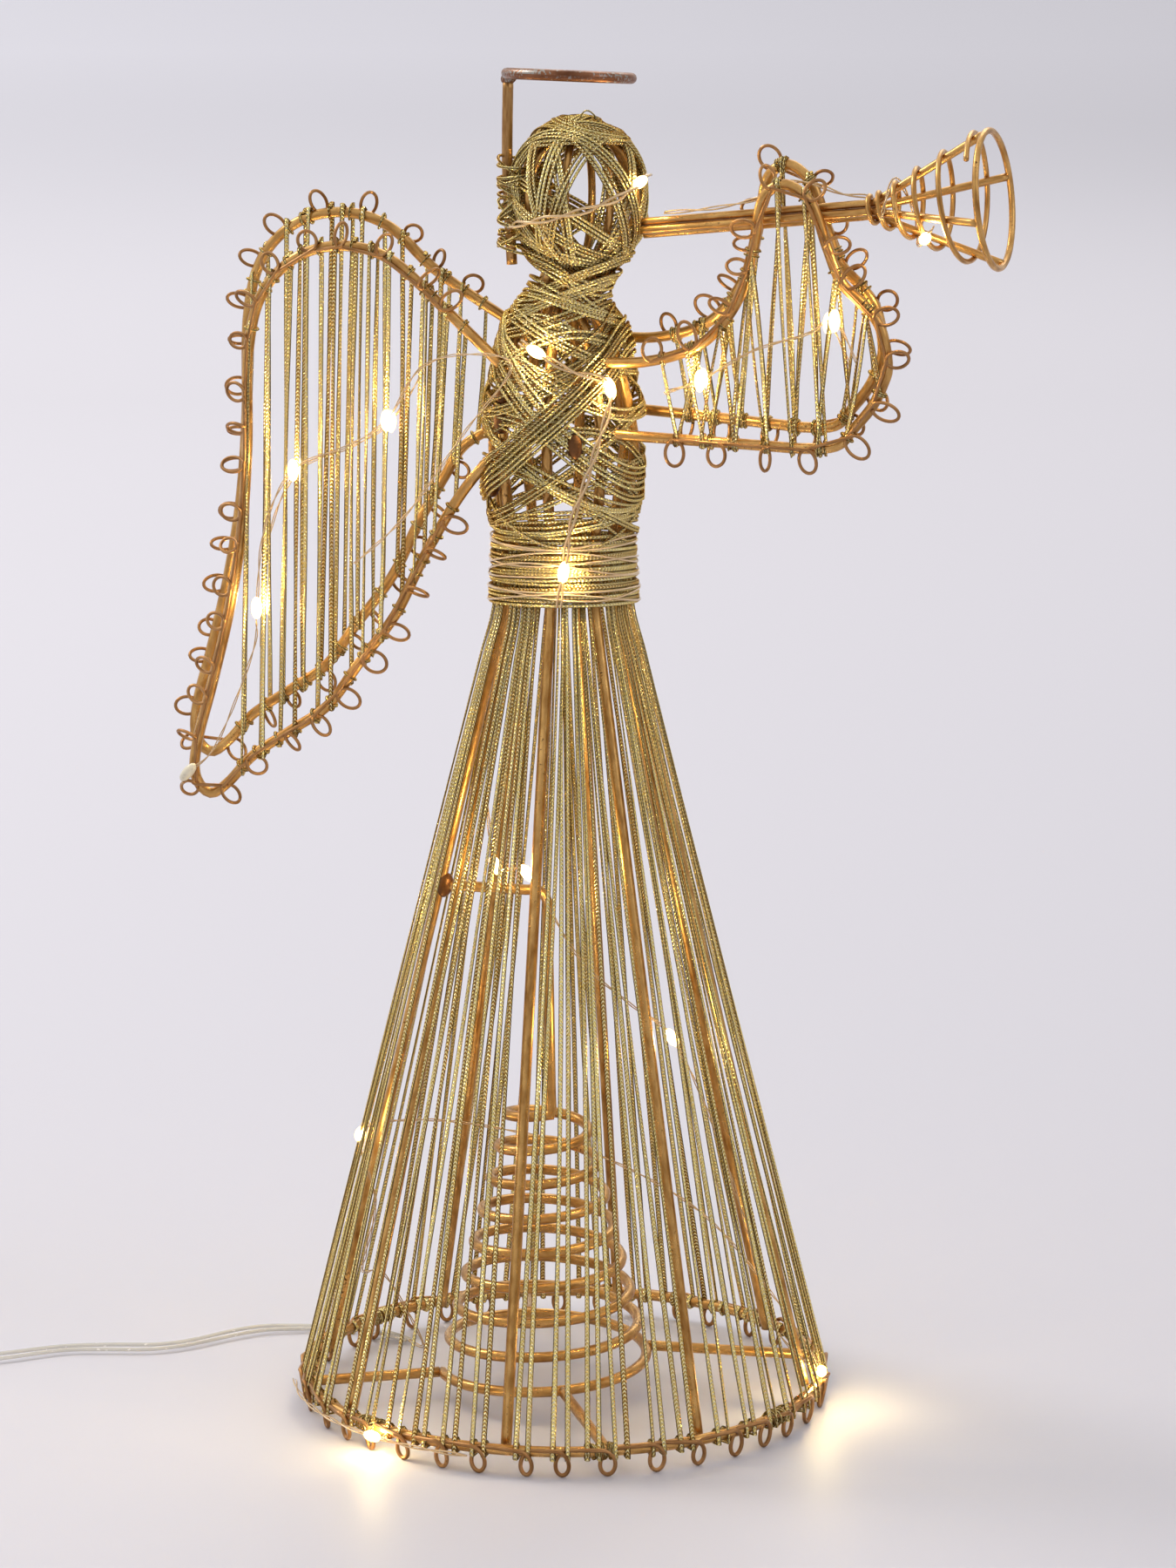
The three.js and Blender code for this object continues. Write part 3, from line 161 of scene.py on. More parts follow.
def spline(control: Iterable[Sequence[float]], step: float) -> Array:
    """Smooth curve through control points.

    Args:
        control: Points that the curve passes.
        step: Distance between the points returned.

    Returns:
        Points along the curve.
    """
    knots = np.asarray(list(control), dtype=float)
    held = np.concatenate([knots[:1], knots, knots[-1:]])
    t = np.linspace(0.0, 1.0, 24, endpoint=False)[:, None]
    spans = []
    for a, b, c, d in zip(held, held[1:], held[2:], held[3:]):
        bend = (2 * a - 5 * b + 4 * c - d) * t**2 + (3 * b - a - 3 * c + d) * t**3
        spans.append(0.5 * (2 * b + (c - a) * t + bend))
    return resample(np.concatenate([*spans, knots[-1:]]), step)


# Meshes


class Strands:
    """Tubes of one finish, gathered into a single mesh.

    Each face corner keeps the strand it lies on: distance along it, share of the way round, and its number.
    """

    def __init__(self, name: str) -> None:
        """Starts an empty mesh.

        Args:
            name: Name of the piece.
        """
        self.name = name.replace(" ", "_")
        self.points: list[Array] = []
        self.faces: list[list[int]] = []
        self.corners: list[Array] = []
        self.count = 0
        self.number = 0

    def tube(
        self,
        points: Array,
        radius: float | Array,
        sides: int = 8,
        closed: bool = False,
        flat: float = 1.0,
        lead: Array | None = None,
        twist: Array | None = None,
    ) -> None:
        """Adds a tube along a line.

        Args:
            points: Centre line.
            radius: Radius, or one for each point.
            sides: Facets of the section.
            closed: Whether the line's end meets its start.
            flat: Thickness of the section over its width.
            lead: Direction of the section's width at the start.
            twist: Turn of the section at each point, in radians.
        """
        line = np.asarray(points, dtype=float)
        count = len(line)
        if closed:
            tangent = np.roll(line, -1, axis=0) - np.roll(line, 1, axis=0)
        else:
            tangent = np.gradient(line, axis=0)
        tangent = units(tangent)
        side = square_to(tangent[0]) if lead is None else lead
        wide = np.empty_like(line)
        for i, heading in enumerate(tangent):
            side = unit(side - heading * side.dot(heading))
            wide[i] = side
        other = np.cross(tangent, wide)
        turn = np.zeros(count) if twist is None else np.asarray(twist, dtype=float)
        if closed:
            back = unit(side - tangent[0] * side.dot(tangent[0]))
            slip = math.atan2(back.dot(other[0]), back.dot(wide[0]))
            turn = turn - slip * np.arange(count) / count
        around = TURN * np.arange(sides) / sides
        angle = around[None, :]
        across = np.cos(angle)[:, :, None] * np.ones((count, 1, 1))
        through = flat * np.sin(angle)[:, :, None] * np.ones((count, 1, 1))
        cos = np.cos(turn)[:, None, None]
        sin = np.sin(turn)[:, None, None]
        reach = np.broadcast_to(np.asarray(radius, dtype=float), (count,))[:, None, None]
        sideways = (across * cos - through * sin) * wide[:, None, :]
        offset = sideways + (across * sin + through * cos) * other[:, None, :]
        ring = line[:, None, :] + reach * offset
        self._wall(ring, distances(line), closed, line)
        self.number += 1

    def _wall(self, ring: Array, along: Array, closed: bool, line: Array) -> None:
        """Adds the faces of one tube.

        Args:
            ring: Points of each section.
            along: Distance of each section along the tube.
            closed: Whether the last section joins the first.
            line: Centre line, for the end caps.
        """
        count, sides = ring.shape[:2]
        steps = count if closed else count - 1
        i, k = np.meshgrid(np.arange(steps), np.arange(sides), indexing="ij")
        after = (i + 1) % count
        beside = (k + 1) % sides
        low = i * sides
        high = after * sides
        index = np.stack([low + k, low + beside, high + beside, high + k], axis=-1)
        here = along[i]
        there = along[after] if not closed else here + np.linalg.norm(ring[after, 0] - ring[i, 0], axis=-1)
        share = k / sides
        next_share = (k + 1) / sides
        mark = np.full(i.shape, float(self.number))
        corner = np.stack(
            [
                np.stack([here, share, mark], axis=-1),
                np.stack([here, next_share, mark], axis=-1),
                np.stack([there, next_share, mark], axis=-1),
                np.stack([there, share, mark], axis=-1),
            ],
            axis=2,
        )
        self.points.append(ring.reshape(-1, 3))
        self.faces.extend((index.reshape(-1, 4) + self.count).tolist())
        self.corners.append(corner.reshape(-1, 3))
        base = self.count
        self.count += count * sides
        if not closed:
            for row, flip in ((0, True), (count - 1, False)):
                self.points.append(line[row][None, :])
                cap = []
                for a in range(sides):
                    b = (a + 1) % sides
                    pair = [b, a] if flip else [a, b]
                    cap.append([self.count, *(base + row * sides + c for c in pair)])
                self.faces.extend(cap)
                self.corners.append(np.tile([along[row], 0.5, float(self.number)], (3 * sides, 1)))
                self.count += 1

    def blob(self, centre: Array, axis: Array, length: float, radius: float, sides: int = 10) -> None:
        """Adds an egg-shaped drop.

        Args:
            centre: Middle of the drop.
            axis: Its long direction.
            length: Length along that.
            radius: Greatest radius.
            sides: Facets round it.
        """
        fall = np.linspace(0.04, math.pi - 0.04, 11)
        heading = unit(axis)
        line = centre - np.outer(np.cos(fall), heading) * length / 2
        self.tube(line, radius * np.sin(fall), sides)

    def ring(
        self, centre: Array, axis: Array, radius: float, wire: float, steps: int = 12, **shape: Any
    ) -> None:
        """Adds a closed ring.

        Args:
            centre: Its middle.
            axis: Direction through it.
            radius: Radius of its centre line.
            wire: Radius of its wire.
            steps: Facets along it.
            **shape: Further arguments of the tube.
        """
        normal = unit(axis)
        first = unit(square_to(normal))
        second = np.cross(normal, first)
        angle = TURN * np.arange(steps) / steps
        line = centre + radius * (np.outer(np.cos(angle), first) + np.outer(np.sin(angle), second))
        self.tube(line, wire, closed=True, **{"sides": 6, **shape})

    def make(self, finish: "Finish", body: Body, nodes: Sequence[str] = ()) -> bpy.types.Object:
        """Makes the piece.

        Args:
            finish: Its finish.
            body: Body that it rides.
            nodes: CAD nodes that it stands for.

        Returns:
            The new object.
        """
        mesh = bpy.data.meshes.new(self.name)
        mesh.from_pydata((np.concatenate(self.points) * MM).tolist(), [], self.faces)
        corner = mesh.attributes.new("strand", "FLOAT_VECTOR", "CORNER")
        corner.data.foreach_set("vector", np.concatenate(self.corners).astype(np.float32).ravel())
        mesh.polygons.foreach_set("use_smooth", np.ones(len(mesh.polygons), dtype=bool))
        mesh.update()
        piece = bpy.data.objects.new(self.name, mesh)
        bpy.context.scene.collection.objects.link(piece)
        mesh.materials.append(finish.material())
        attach(piece, body.value)
        if nodes:
            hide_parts(*nodes)
        LOG.info("%s: %d strands, %d faces", self.name, self.number, len(self.faces))
        return piece


# Materials


class Sock:
    """Output of a shader node that takes part in sums."""

    def __init__(self, graph: "Graph", socket: bpy.types.NodeSocket) -> None:
        """Wraps a socket.

        Args:
            graph: Graph that it belongs to.
            socket: The output.
        """
        self.graph = graph
        self.socket = socket

    def math(self, operation: str, *others: "Sock | float", before: bool = False) -> "Sock":
        """Result of a math node.

        Args:
            operation: Its operation.
            *others: Further operands.
            before: Whether this socket comes last.

        Returns:
            The node's value.
        """
        values = [*others, self] if before else [self, *others]
        return self.graph.node("ShaderNodeMath", {"operation": operation}, dict(enumerate(values)))

    def __add__(self, other: "Sock | float") -> "Sock":
        """Sum."""
        return self.math("ADD", other)

    def __radd__(self, other: float) -> "Sock":
        """Sum with a number in front."""
        return self.math("ADD", other, before=True)

    def __sub__(self, other: "Sock | float") -> "Sock":
        """Difference."""
        return self.math("SUBTRACT", other)

    def __rsub__(self, other: float) -> "Sock":
        """Difference from a number."""
        return self.math("SUBTRACT", other, before=True)

    def __mul__(self, other: "Sock | float") -> "Sock":
        """Product."""
        return self.math("MULTIPLY", other)

    def __rmul__(self, other: float) -> "Sock":
        """Product with a number in front."""
        return self.math("MULTIPLY", other, before=True)

    def __truediv__(self, other: "Sock | float") -> "Sock":
        """Quotient."""
        return self.math("DIVIDE", other)

    def span(self, low: float, high: float) -> "Sock":
        """Share of the way from low to high, held between 0 and 1."""
        sockets = {"Value": self, "From Min": low, "From Max": high}
        return self.graph.node("ShaderNodeMapRange", {"clamp": True}, sockets)


class Graph:
    """Node graph of one material."""

    def __init__(self, tree: bpy.types.NodeTree) -> None:
        """Clears a tree for use.

        Args:
            tree: The material's or world's tree.
        """
        self.tree = tree
        tree.nodes.clear()

    def node(
        self,
        kind: str,
        settings: dict[str, Any] | None = None,
        sockets: dict[str | int, Any] | None = None,
        output: str | int = 0,
    ) -> Sock:
        """Adds a node.

        Args:
            kind: Type of the node.
            settings: Its properties.
            sockets: Its inputs, as numbers, colours or other nodes' outputs.
            output: Output to return.

        Returns:
            That output.
        """
        node = self.tree.nodes.new(kind)
        for key, value in (settings or {}).items():
            setattr(node, key, value)
        for key, value in (sockets or {}).items():
            if isinstance(value, Sock):
                self.tree.links.new(value.socket, node.inputs[key])
            else:
                node.inputs[key].default_value = value
        return Sock(self, node.outputs[output]) if len(node.outputs) else Sock(self, None)

    def mix(self, share: Sock | float, first: Sock | Colour, second: Sock | Colour) -> Sock:
        """Mixes two colours.

        Args:
            share: Share of the second.
            first: First colour.
            second: Second colour.

        Returns:
            The mixed colour.
        """
        return self.node("ShaderNodeMix", {"data_type": "RGBA"}, {0: share, 6: first, 7: second}, 2)

    def noise(self, place: Sock, scale: float, detail: float = 2.0) -> Sock:
        """Cloudy value between 0 and 1.

        Args:
            place: Where it is read.
            scale: Its fineness.
            detail: Its octaves.

        Returns:
            The value.
        """
        return self.node("ShaderNodeTexNoise", None, {"Vector": place, "Scale": scale, "Detail": detail})

    def strand(self) -> tuple[Sock, Sock, Sock]:
        """Distance along the strand, share of the way round it, and its number."""
        kept = self.node("ShaderNodeAttribute", {"attribute_name": "strand"}, None, "Vector")
        parts = self.node("ShaderNodeSeparateXYZ", None, {0: kept}).socket.node.outputs
        return Sock(self, parts[0]), Sock(self, parts[1]), Sock(self, parts[2])

    def place(self, x: Sock | float, y: Sock | float, z: Sock | float) -> Sock:
        """Vector of three values."""
        return self.node("ShaderNodeCombineXYZ", None, {0: x, 1: y, 2: z})

    def dot(self, place: Sock, way: Vector) -> Sock:
        """Distance of a point along a direction."""
        return self.node("ShaderNodeVectorMath", {"operation": "DOT_PRODUCT"}, {0: place, 1: way}, "Value")

    def rest(self) -> Sock:
        """Point of the piece in its own frame, in metres."""
        return self.node("ShaderNodeTexCoord", None, None, "Object")

    def bump(self, height: Sock, strength: float, distance: float) -> Sock:
        """Normal of a rough surface."""
        sockets = {"Height": height, "Strength": strength, "Distance": distance}
        return self.node("ShaderNodeBump", None, sockets)

    def close(self, shader: Sock) -> None:
        """Ends the graph with a surface shader."""
        self.node("ShaderNodeOutputMaterial", None, {"Surface": shader})

    def principled(self, **sockets: Any) -> Sock:
        """Principled shader; an underscore in a name stands for a space."""
        named = {key.replace("_", " "): value for key, value in sockets.items()}
        return self.node("ShaderNodeBsdfPrincipled", None, named)


@dataclass(frozen=True)
class Finish:
    """Finish of pieces: a name, a slot of the record and a material that is made once."""

    name: str
    slot: Slot

    def material(self) -> bpy.types.Material:
        """Material of this finish, made at its first use.

        Returns:
            The material.
        """
        known = bpy.data.materials.get(self.name)
        if known:
            return known
        made = bpy.data.materials.new(self.name)
        made.use_nodes = True
        self.dress(Graph(made.node_tree))
        return made

    def dress(self, graph: Graph) -> None:
        """Fills the material's graph.

        Args:
            graph: Empty graph.
        """
        raise NotImplementedError


@dataclass(frozen=True)
class RodFinish(Finish):
    """Drawn metal rod with lengthwise streaks, tarnish and scuffs."""

    light: Colour
    dark: Colour
    scuff: Colour
    scuffed: float = 0.62
    metal: float = 0.92
    rough: Pair = (0.26, 0.5)

    def dress(self, graph: Graph) -> None:
        """See Finish."""
        along, around, number = graph.strand()
        streak = graph.noise(graph.place(along * 0.22, around * 5.0, number * 7.3), 1.0, 4.0)
        cloud = graph.noise(graph.place(along * 0.06, around * 1.5, number * 3.7), 1.0, 3.0)
        grain = graph.noise(graph.place(along * 1.7, around * 9.0, number * 5.1), 1.0, 2.0)
        tone = (streak * 0.55 + cloud * 0.45).span(0.34, 0.66)
        colour = graph.mix(tone, self.dark, self.light)
        worn = (cloud * 0.5 + grain * 0.5).span(self.scuffed, self.scuffed + 0.06)
        shaded = graph.mix(worn, colour, self.scuff)
        rough = self.rough[0] + (1.0 - tone) * (self.rough[1] - self.rough[0])
        normal = graph.bump(streak * 0.6 + grain * 0.4, 0.25, 0.00025)
        graph.close(graph.principled(Base_Color=shaded, Metallic=self.metal, Roughness=rough, Normal=normal))


@dataclass(frozen=True)
class ThreadFinish(Finish):
    """Plaited metallic thread with a fine chevron weave, painted glints on its ridges and painted shade along
    the sides where threads meet.
    """

    light: Colour
    dark: Colour
    # painted highlight colour of the glints
    painted_glint: Colour
    # painted shade colour along the sides where threads meet
    gap: Colour
    rim: Colour
    pitch: float = 0.88
    metal: float = 1.0
    rough: Pair = (0.15, 0.36)

    def dress(self, graph: Graph) -> None:
        """See Finish."""
        along, around, number = graph.strand()
        each = graph.node("ShaderNodeTexWhiteNoise", {"noise_dimensions": "1D"}, {"W": number}, "Value")
        column = (around * 2.0).math("FRACT")
        chevron = (column * 2.0 - 1.0).math("ABSOLUTE")
        phase = along / self.pitch + chevron * 0.9 + number * 0.37
        ridge = (phase * TURN).math("SINE") * 0.5 + 0.5
        shade = graph.noise(graph.place(along * 0.12, around * 1.2, number * 4.3), 1.0, 3.0)
        fibre = graph.noise(graph.place(along * 1.4, around * 7.0, number * 2.9), 1.0, 3.0)
        tone = (ridge * 0.7 + shade * 0.25 + fibre * 0.4 + each * 0.75).span(0.4, 1.1)
        colour = graph.mix(tone, self.dark, self.light)
        # Painted highlights: bright dots of the glint colour along the weave's ridges.
        painted_glint_speck = graph.noise(graph.place(along * 1.1, around * 4.0, number * 9.1), 1.0, 1.0).span(0.36, 0.48)
        painted_glint_mask = ridge.span(0.45, 0.9) * painted_glint_speck * (0.5 + each * 0.5)
        # Painted shade: the sides of each thread, where it meets its neighbours, are darkened towards the gap
        # colour.
        edge = (around * TURN).math("COSINE").math("ABSOLUTE").span(0.74, 0.98)
        colour_with_painted_light = graph.mix(edge * 0.85, graph.mix(painted_glint_mask, colour, self.painted_glint), self.gap)
        rough = self.rough[1] - (painted_glint_mask * 0.5 + tone * 0.5) * (self.rough[1] - self.rough[0])
        normal = graph.bump(ridge * 0.7 + fibre * 0.6, 0.9, 0.0004)
        graph.close(
            graph.principled(
                Base_Color=colour_with_painted_light,
                Metallic=self.metal,
                Roughness=rough,
                Specular_Tint=self.rim,
                Normal=normal,
            )
        )


@dataclass(frozen=True)
class ClearFinish(Finish):
    """Clear plastic over a pale conductor."""

    light: Colour
    dark: Colour
    metal: float = 0.0
    through: float = 0.35

    def dress(self, graph: Graph) -> None:
        """See Finish."""
        along, around, number = graph.strand()
        lay = graph.noise(graph.place(along * 0.5, around * 3.0, number * 6.1), 1.0, 3.0)
        stripe = ((around * 2.0).math("FRACT") * 2.0 - 1.0).math("ABSOLUTE").span(0.25, 0.8)
        colour = graph.mix(stripe * 0.6 + lay * 0.4, self.dark, self.light)
        graph.close(
            graph.principled(
                Base_Color=colour,
                Metallic=self.metal,
                Roughness=0.14 + lay * 0.2,
                Transmission_Weight=self.through,
                Coat_Weight=0.5,
            )
        )


@dataclass(frozen=True)
class GlowFinish(Finish):
    """Resin drop round a lit diode: a bright core that fades out in the clear rim."""

    core: Colour
    edge: Colour
    strength: float = 7.0

    def dress(self, graph: Graph) -> None:
        """See Finish."""
        facing = graph.node("ShaderNodeLayerWeight", None, {"Blend": 0.5}, "Facing")
        cloud = graph.noise(graph.rest(), 900.0, 2.0)
        rim = (facing + (cloud - 0.5) * 0.2).span(0.1, 0.75)
        glow = graph.mix(rim, self.core, self.edge)
        lit = graph.principled(
            Base_Color=glow,
            Roughness=0.12 + cloud * 0.1,
            Emission_Color=glow,
            Emission_Strength=self.strength,
        )
        clear = graph.node("ShaderNodeBsdfTransparent")
        fade = (facing + (cloud - 0.5) * 0.15).span(0.35, 0.95)
        graph.close(graph.node("ShaderNodeMixShader", None, {0: fade, 1: lit, 2: clear}))


@dataclass(frozen=True)
class PlasticFinish(Finish):
    """Moulded plastic or a printed sleeve with a fine grain."""

    light: Colour
    dark: Colour
    rough: float = 0.42
    metal: float = 0.0
    grain: float = 1400.0

    def dress(self, graph: Graph) -> None:
        """See Finish."""
        at = graph.rest()
        cloud = graph.noise(at, 60.0, 3.0)
        grain = graph.noise(at, self.grain, 2.0)
        colour = graph.mix((cloud * 0.7 + grain * 0.3).span(0.3, 0.7), self.dark, self.light)
        normal = graph.bump(grain, 0.12, 0.0001)
        rough = self.rough + (grain - 0.5) * 0.2
        graph.close(graph.principled(Base_Color=colour, Roughness=rough, Metallic=self.metal, Normal=normal))


@dataclass(frozen=True)
class Finishes:
    """All finishes of the topper."""

    rod: Finish = RodFinish(
        "brass rod", Slot.ROD, srgb(232, 184, 112), srgb(146, 100, 48), srgb(96, 62, 30), rough=(0.2, 0.42)
    )
    curl: Finish = RodFinish("curl wire", Slot.CURL, srgb(196, 148, 96), srgb(124, 86, 50), srgb(86, 60, 38))
    halo: Finish = RodFinish(
        "halo rod",
        Slot.HALO,
        srgb(158, 108, 78),
        srgb(92, 56, 36),
        srgb(150, 146, 140),
        scuffed=0.52,
        rough=(0.3, 0.5),
    )
    post: Finish = RodFinish(
        "halo post rod", Slot.HALO, srgb(206, 162, 104), srgb(132, 92, 50), srgb(96, 66, 40)
    )
    solder: Finish = RodFinish(
        "solder", Slot.ROD, srgb(128, 84, 44), srgb(70, 42, 20), srgb(52, 34, 20), metal=0.7
    )
    thread: Finish = ThreadFinish(
        "plaited thread",
        Slot.THREAD,
        srgb(255, 236, 152),
        srgb(138, 90, 20),
        # painted glint colour
        srgb(255, 250, 212),
        # painted shade colour between threads
        srgb(62, 34, 4),
        srgb(206, 150, 70),
    )
    wire: Finish = ClearFinish(
        "light wire", Slot.LIGHT, srgb(236, 206, 158), srgb(182, 144, 94), metal=0.3, through=0.1
    )
    drop: Finish = GlowFinish("lit drop", Slot.LIGHT, srgb(255, 244, 206), srgb(255, 214, 132))
    tape: Finish = PlasticFinish(
        "pale resin", Slot.LIGHT, srgb(240, 234, 216), srgb(206, 196, 170), rough=0.3
    )
    lead: Finish = ClearFinish("clear lead", Slot.LEAD, srgb(252, 249, 243), srgb(218, 211, 197))
    box: Finish = PlasticFinish("box plastic", Slot.BOX, srgb(238, 235, 226), srgb(222, 218, 206))
    tie: Finish = PlasticFinish("tie", Slot.BOX, srgb(232, 230, 226), srgb(206, 204, 200), rough=0.5)
    switch: Finish = PlasticFinish("switch plastic", Slot.SWITCH, srgb(62, 63, 66), srgb(40, 41, 44))
    cell: Finish = PlasticFinish(
        "cell sleeve", Slot.CELL, srgb(112, 116, 124), srgb(78, 82, 90), rough=0.3, metal=0.4
    )


# The figure


@dataclass
class BodyShape:
    """Outline of the eight body rods, which the thread follows."""

    rod: float = 1.25
    hoop_radius: float = 60.0
    hoop_height: float = 5.8
    foot_radius: float = 57.11
    waist_low: float = 188.0
    waist_high: float = 204.0
    waist_radius: float = 13.3
    neck_low: float = 256.0
    neck_radius: float = 6.5
    top: float = 265.0
    head_forward: float = 3.5
    ribs: int = 8
    wing_root: float = 244.0
    wing_apart: float = 10.0
    sleeve_root: float = 246.0
    sleeve_apart: float = 11.0
    hold: float = 52.0
    chest: Sequence[Pair] = ((13.3, 204.0), (15.25, 215.0), (16.2, 226.0), (12.2, 244.0), (6.5, 256.0))
    outline: Array = field(init=False)

    def __post_init__(self) -> None:
        """Draws the outline as radius and height."""
        skirt = [(self.foot_radius, self.hoop_height), (self.waist_radius, self.waist_low)]
        curve = spline(self.chest, 1.0)
        self.outline = np.concatenate([skirt, curve, [(self.neck_radius, self.top)]])

    def radius(self, z: float | Array) -> float | Array:
        """Distance of the rods' centre line from the axis at a height."""
        return np.interp(z, self.outline[:, 1], self.outline[:, 0])

    def lean(self, z: float | Array) -> float | Array:
        """Forward shift of the neck at a height."""
        return self.head_forward * np.clip((np.asarray(z) - self.neck_low) / (self.top - self.neck_low), 0, 1)

    def at(self, angle: float, z: float, off: float = 0.0) -> Array:
        """Point over the rods' centre line.

        Args:
            angle: Angle about the axis.
            z: Height.
            off: Distance outside the centre line.

        Returns:
            The point.
        """
        return polar(float(self.radius(z)) + off, angle, z) + vec(float(self.lean(z)), 0, 0)

    def facet(self, angle: Array, share: float) -> Array:
        """Factor that pulls a loop straight between the rods.

        Args:
            angle: Angles about the axis.
            share: 0 for a round loop, 1 for a straight-sided one.

        Returns:
            Factor on the radius at each angle.
        """
        half = math.pi / self.ribs
        inside = np.mod(angle, 2 * half) - half
        return 1 - share * (1 - math.cos(half) / np.cos(inside))


@dataclass
class Figure:
    """Base of the parts of the figure: shared shape, finishes and randomness."""

    shape: BodyShape
    finishes: Finishes
    seed: int = 1

    def __post_init__(self) -> None:
        """Starts the random numbers."""
        self.random = np.random.default_rng(self.seed)

    def jitter(self, size: float) -> float:
        """Random number between minus and plus a size."""
        return float(self.random.uniform(-size, size))


@dataclass
class Frame(Figure):
    """Base hoop, body rods, inner rings and solder."""

    steps: int = 160
    waist_hoop: Pair = (10.5, 196.0)
    collar: Pair = (3.7, 258.5)
    solder_spots: Sequence[Pair] = ((-2.35, 236.0), (-2.3, 231.0), (-1.2, 226.0), (-2.6, 216.0))
    solder_out: float = 1.5
    solder_size: Pair = (6.5, 1.9)

    def build(self) -> None:
        """Makes the rods."""
        shape = self.shape
        hoop = Strands("hoop rod")
        hoop.ring(vec(0, 0, shape.hoop_height), UP, shape.hoop_radius, shape.rod, self.steps, sides=12)
        hoop.make(self.finishes.rod, Body.TOPPER, ["base_hoop"])
        ribs = Strands("body rods")
        for i in range(shape.ribs):
            angle = TURN * i / shape.ribs
            line = [shape.at(angle, z) for z in resample(shape.outline[:, 1:], 2.0)[:, 0]]
            ribs.tube(resample(line, 2.5), shape.rod, 10)
        ribs.make(self.finishes.rod, Body.TOPPER, [f"body_rib_{i + 1}" for i in range(shape.ribs)])
        rings = Strands("inner rings")
        for (radius, z), lean in ((self.waist_hoop, 0.0), (self.collar, float(shape.lean(self.collar[1])))):
            rings.ring(vec(lean, 0, z), UP, radius, shape.rod, 48, sides=10)
        rings.make(self.finishes.rod, Body.TOPPER, ["waist_hoop", "collar_ring"])
        blobs = Strands("solder")
        for angle, z in self.solder_spots:
            blobs.blob(shape.at(angle, z, self.solder_out), UP, *self.solder_size)
        blobs.make(self.finishes.solder, Body.TOPPER)


@dataclass
class Hem(Figure):
    """Curled wire under the hoop, on which the figure stands."""

    curls: int = 38
    wire: float = 0.5
    width: float = 4.7
    top: float = 6.6
    floor: float = 0.5
    steps: int = 22
    out: float = 1.9
    creep: float = 1.1
    tuck: float = 0.35
    advance: float = 0.35

    def build(self) -> None:
        """Makes the curls as one wire."""
        line = []
        pitch = TURN / self.curls
        for i in range(self.curls):
            middle = pitch * i + self.jitter(0.18) * pitch
            width = self.width * (1 + self.jitter(0.14))
            top = self.top + self.jitter(0.5)
            for k in range(self.steps):
                turn = TURN * k / self.steps
                angle = middle + width / 2 / self.shape.hoop_radius * math.sin(turn)
                angle += pitch * (k / self.steps - 0.5) * self.advance
                z = self.floor + (top - self.floor) * (0.5 + 0.5 * math.cos(turn))
                radius = self.shape.hoop_radius + self.out - self.creep * k / self.steps
                radius -= self.tuck * (1 - math.cos(turn))
                line.append(polar(radius, angle, z))
        strands = Strands("hem curls")
        strands.tube(spline(line, 0.55), self.wire, 7)
        strands.make(self.finishes.curl, Body.TOPPER, ["hem_loop_wire"])


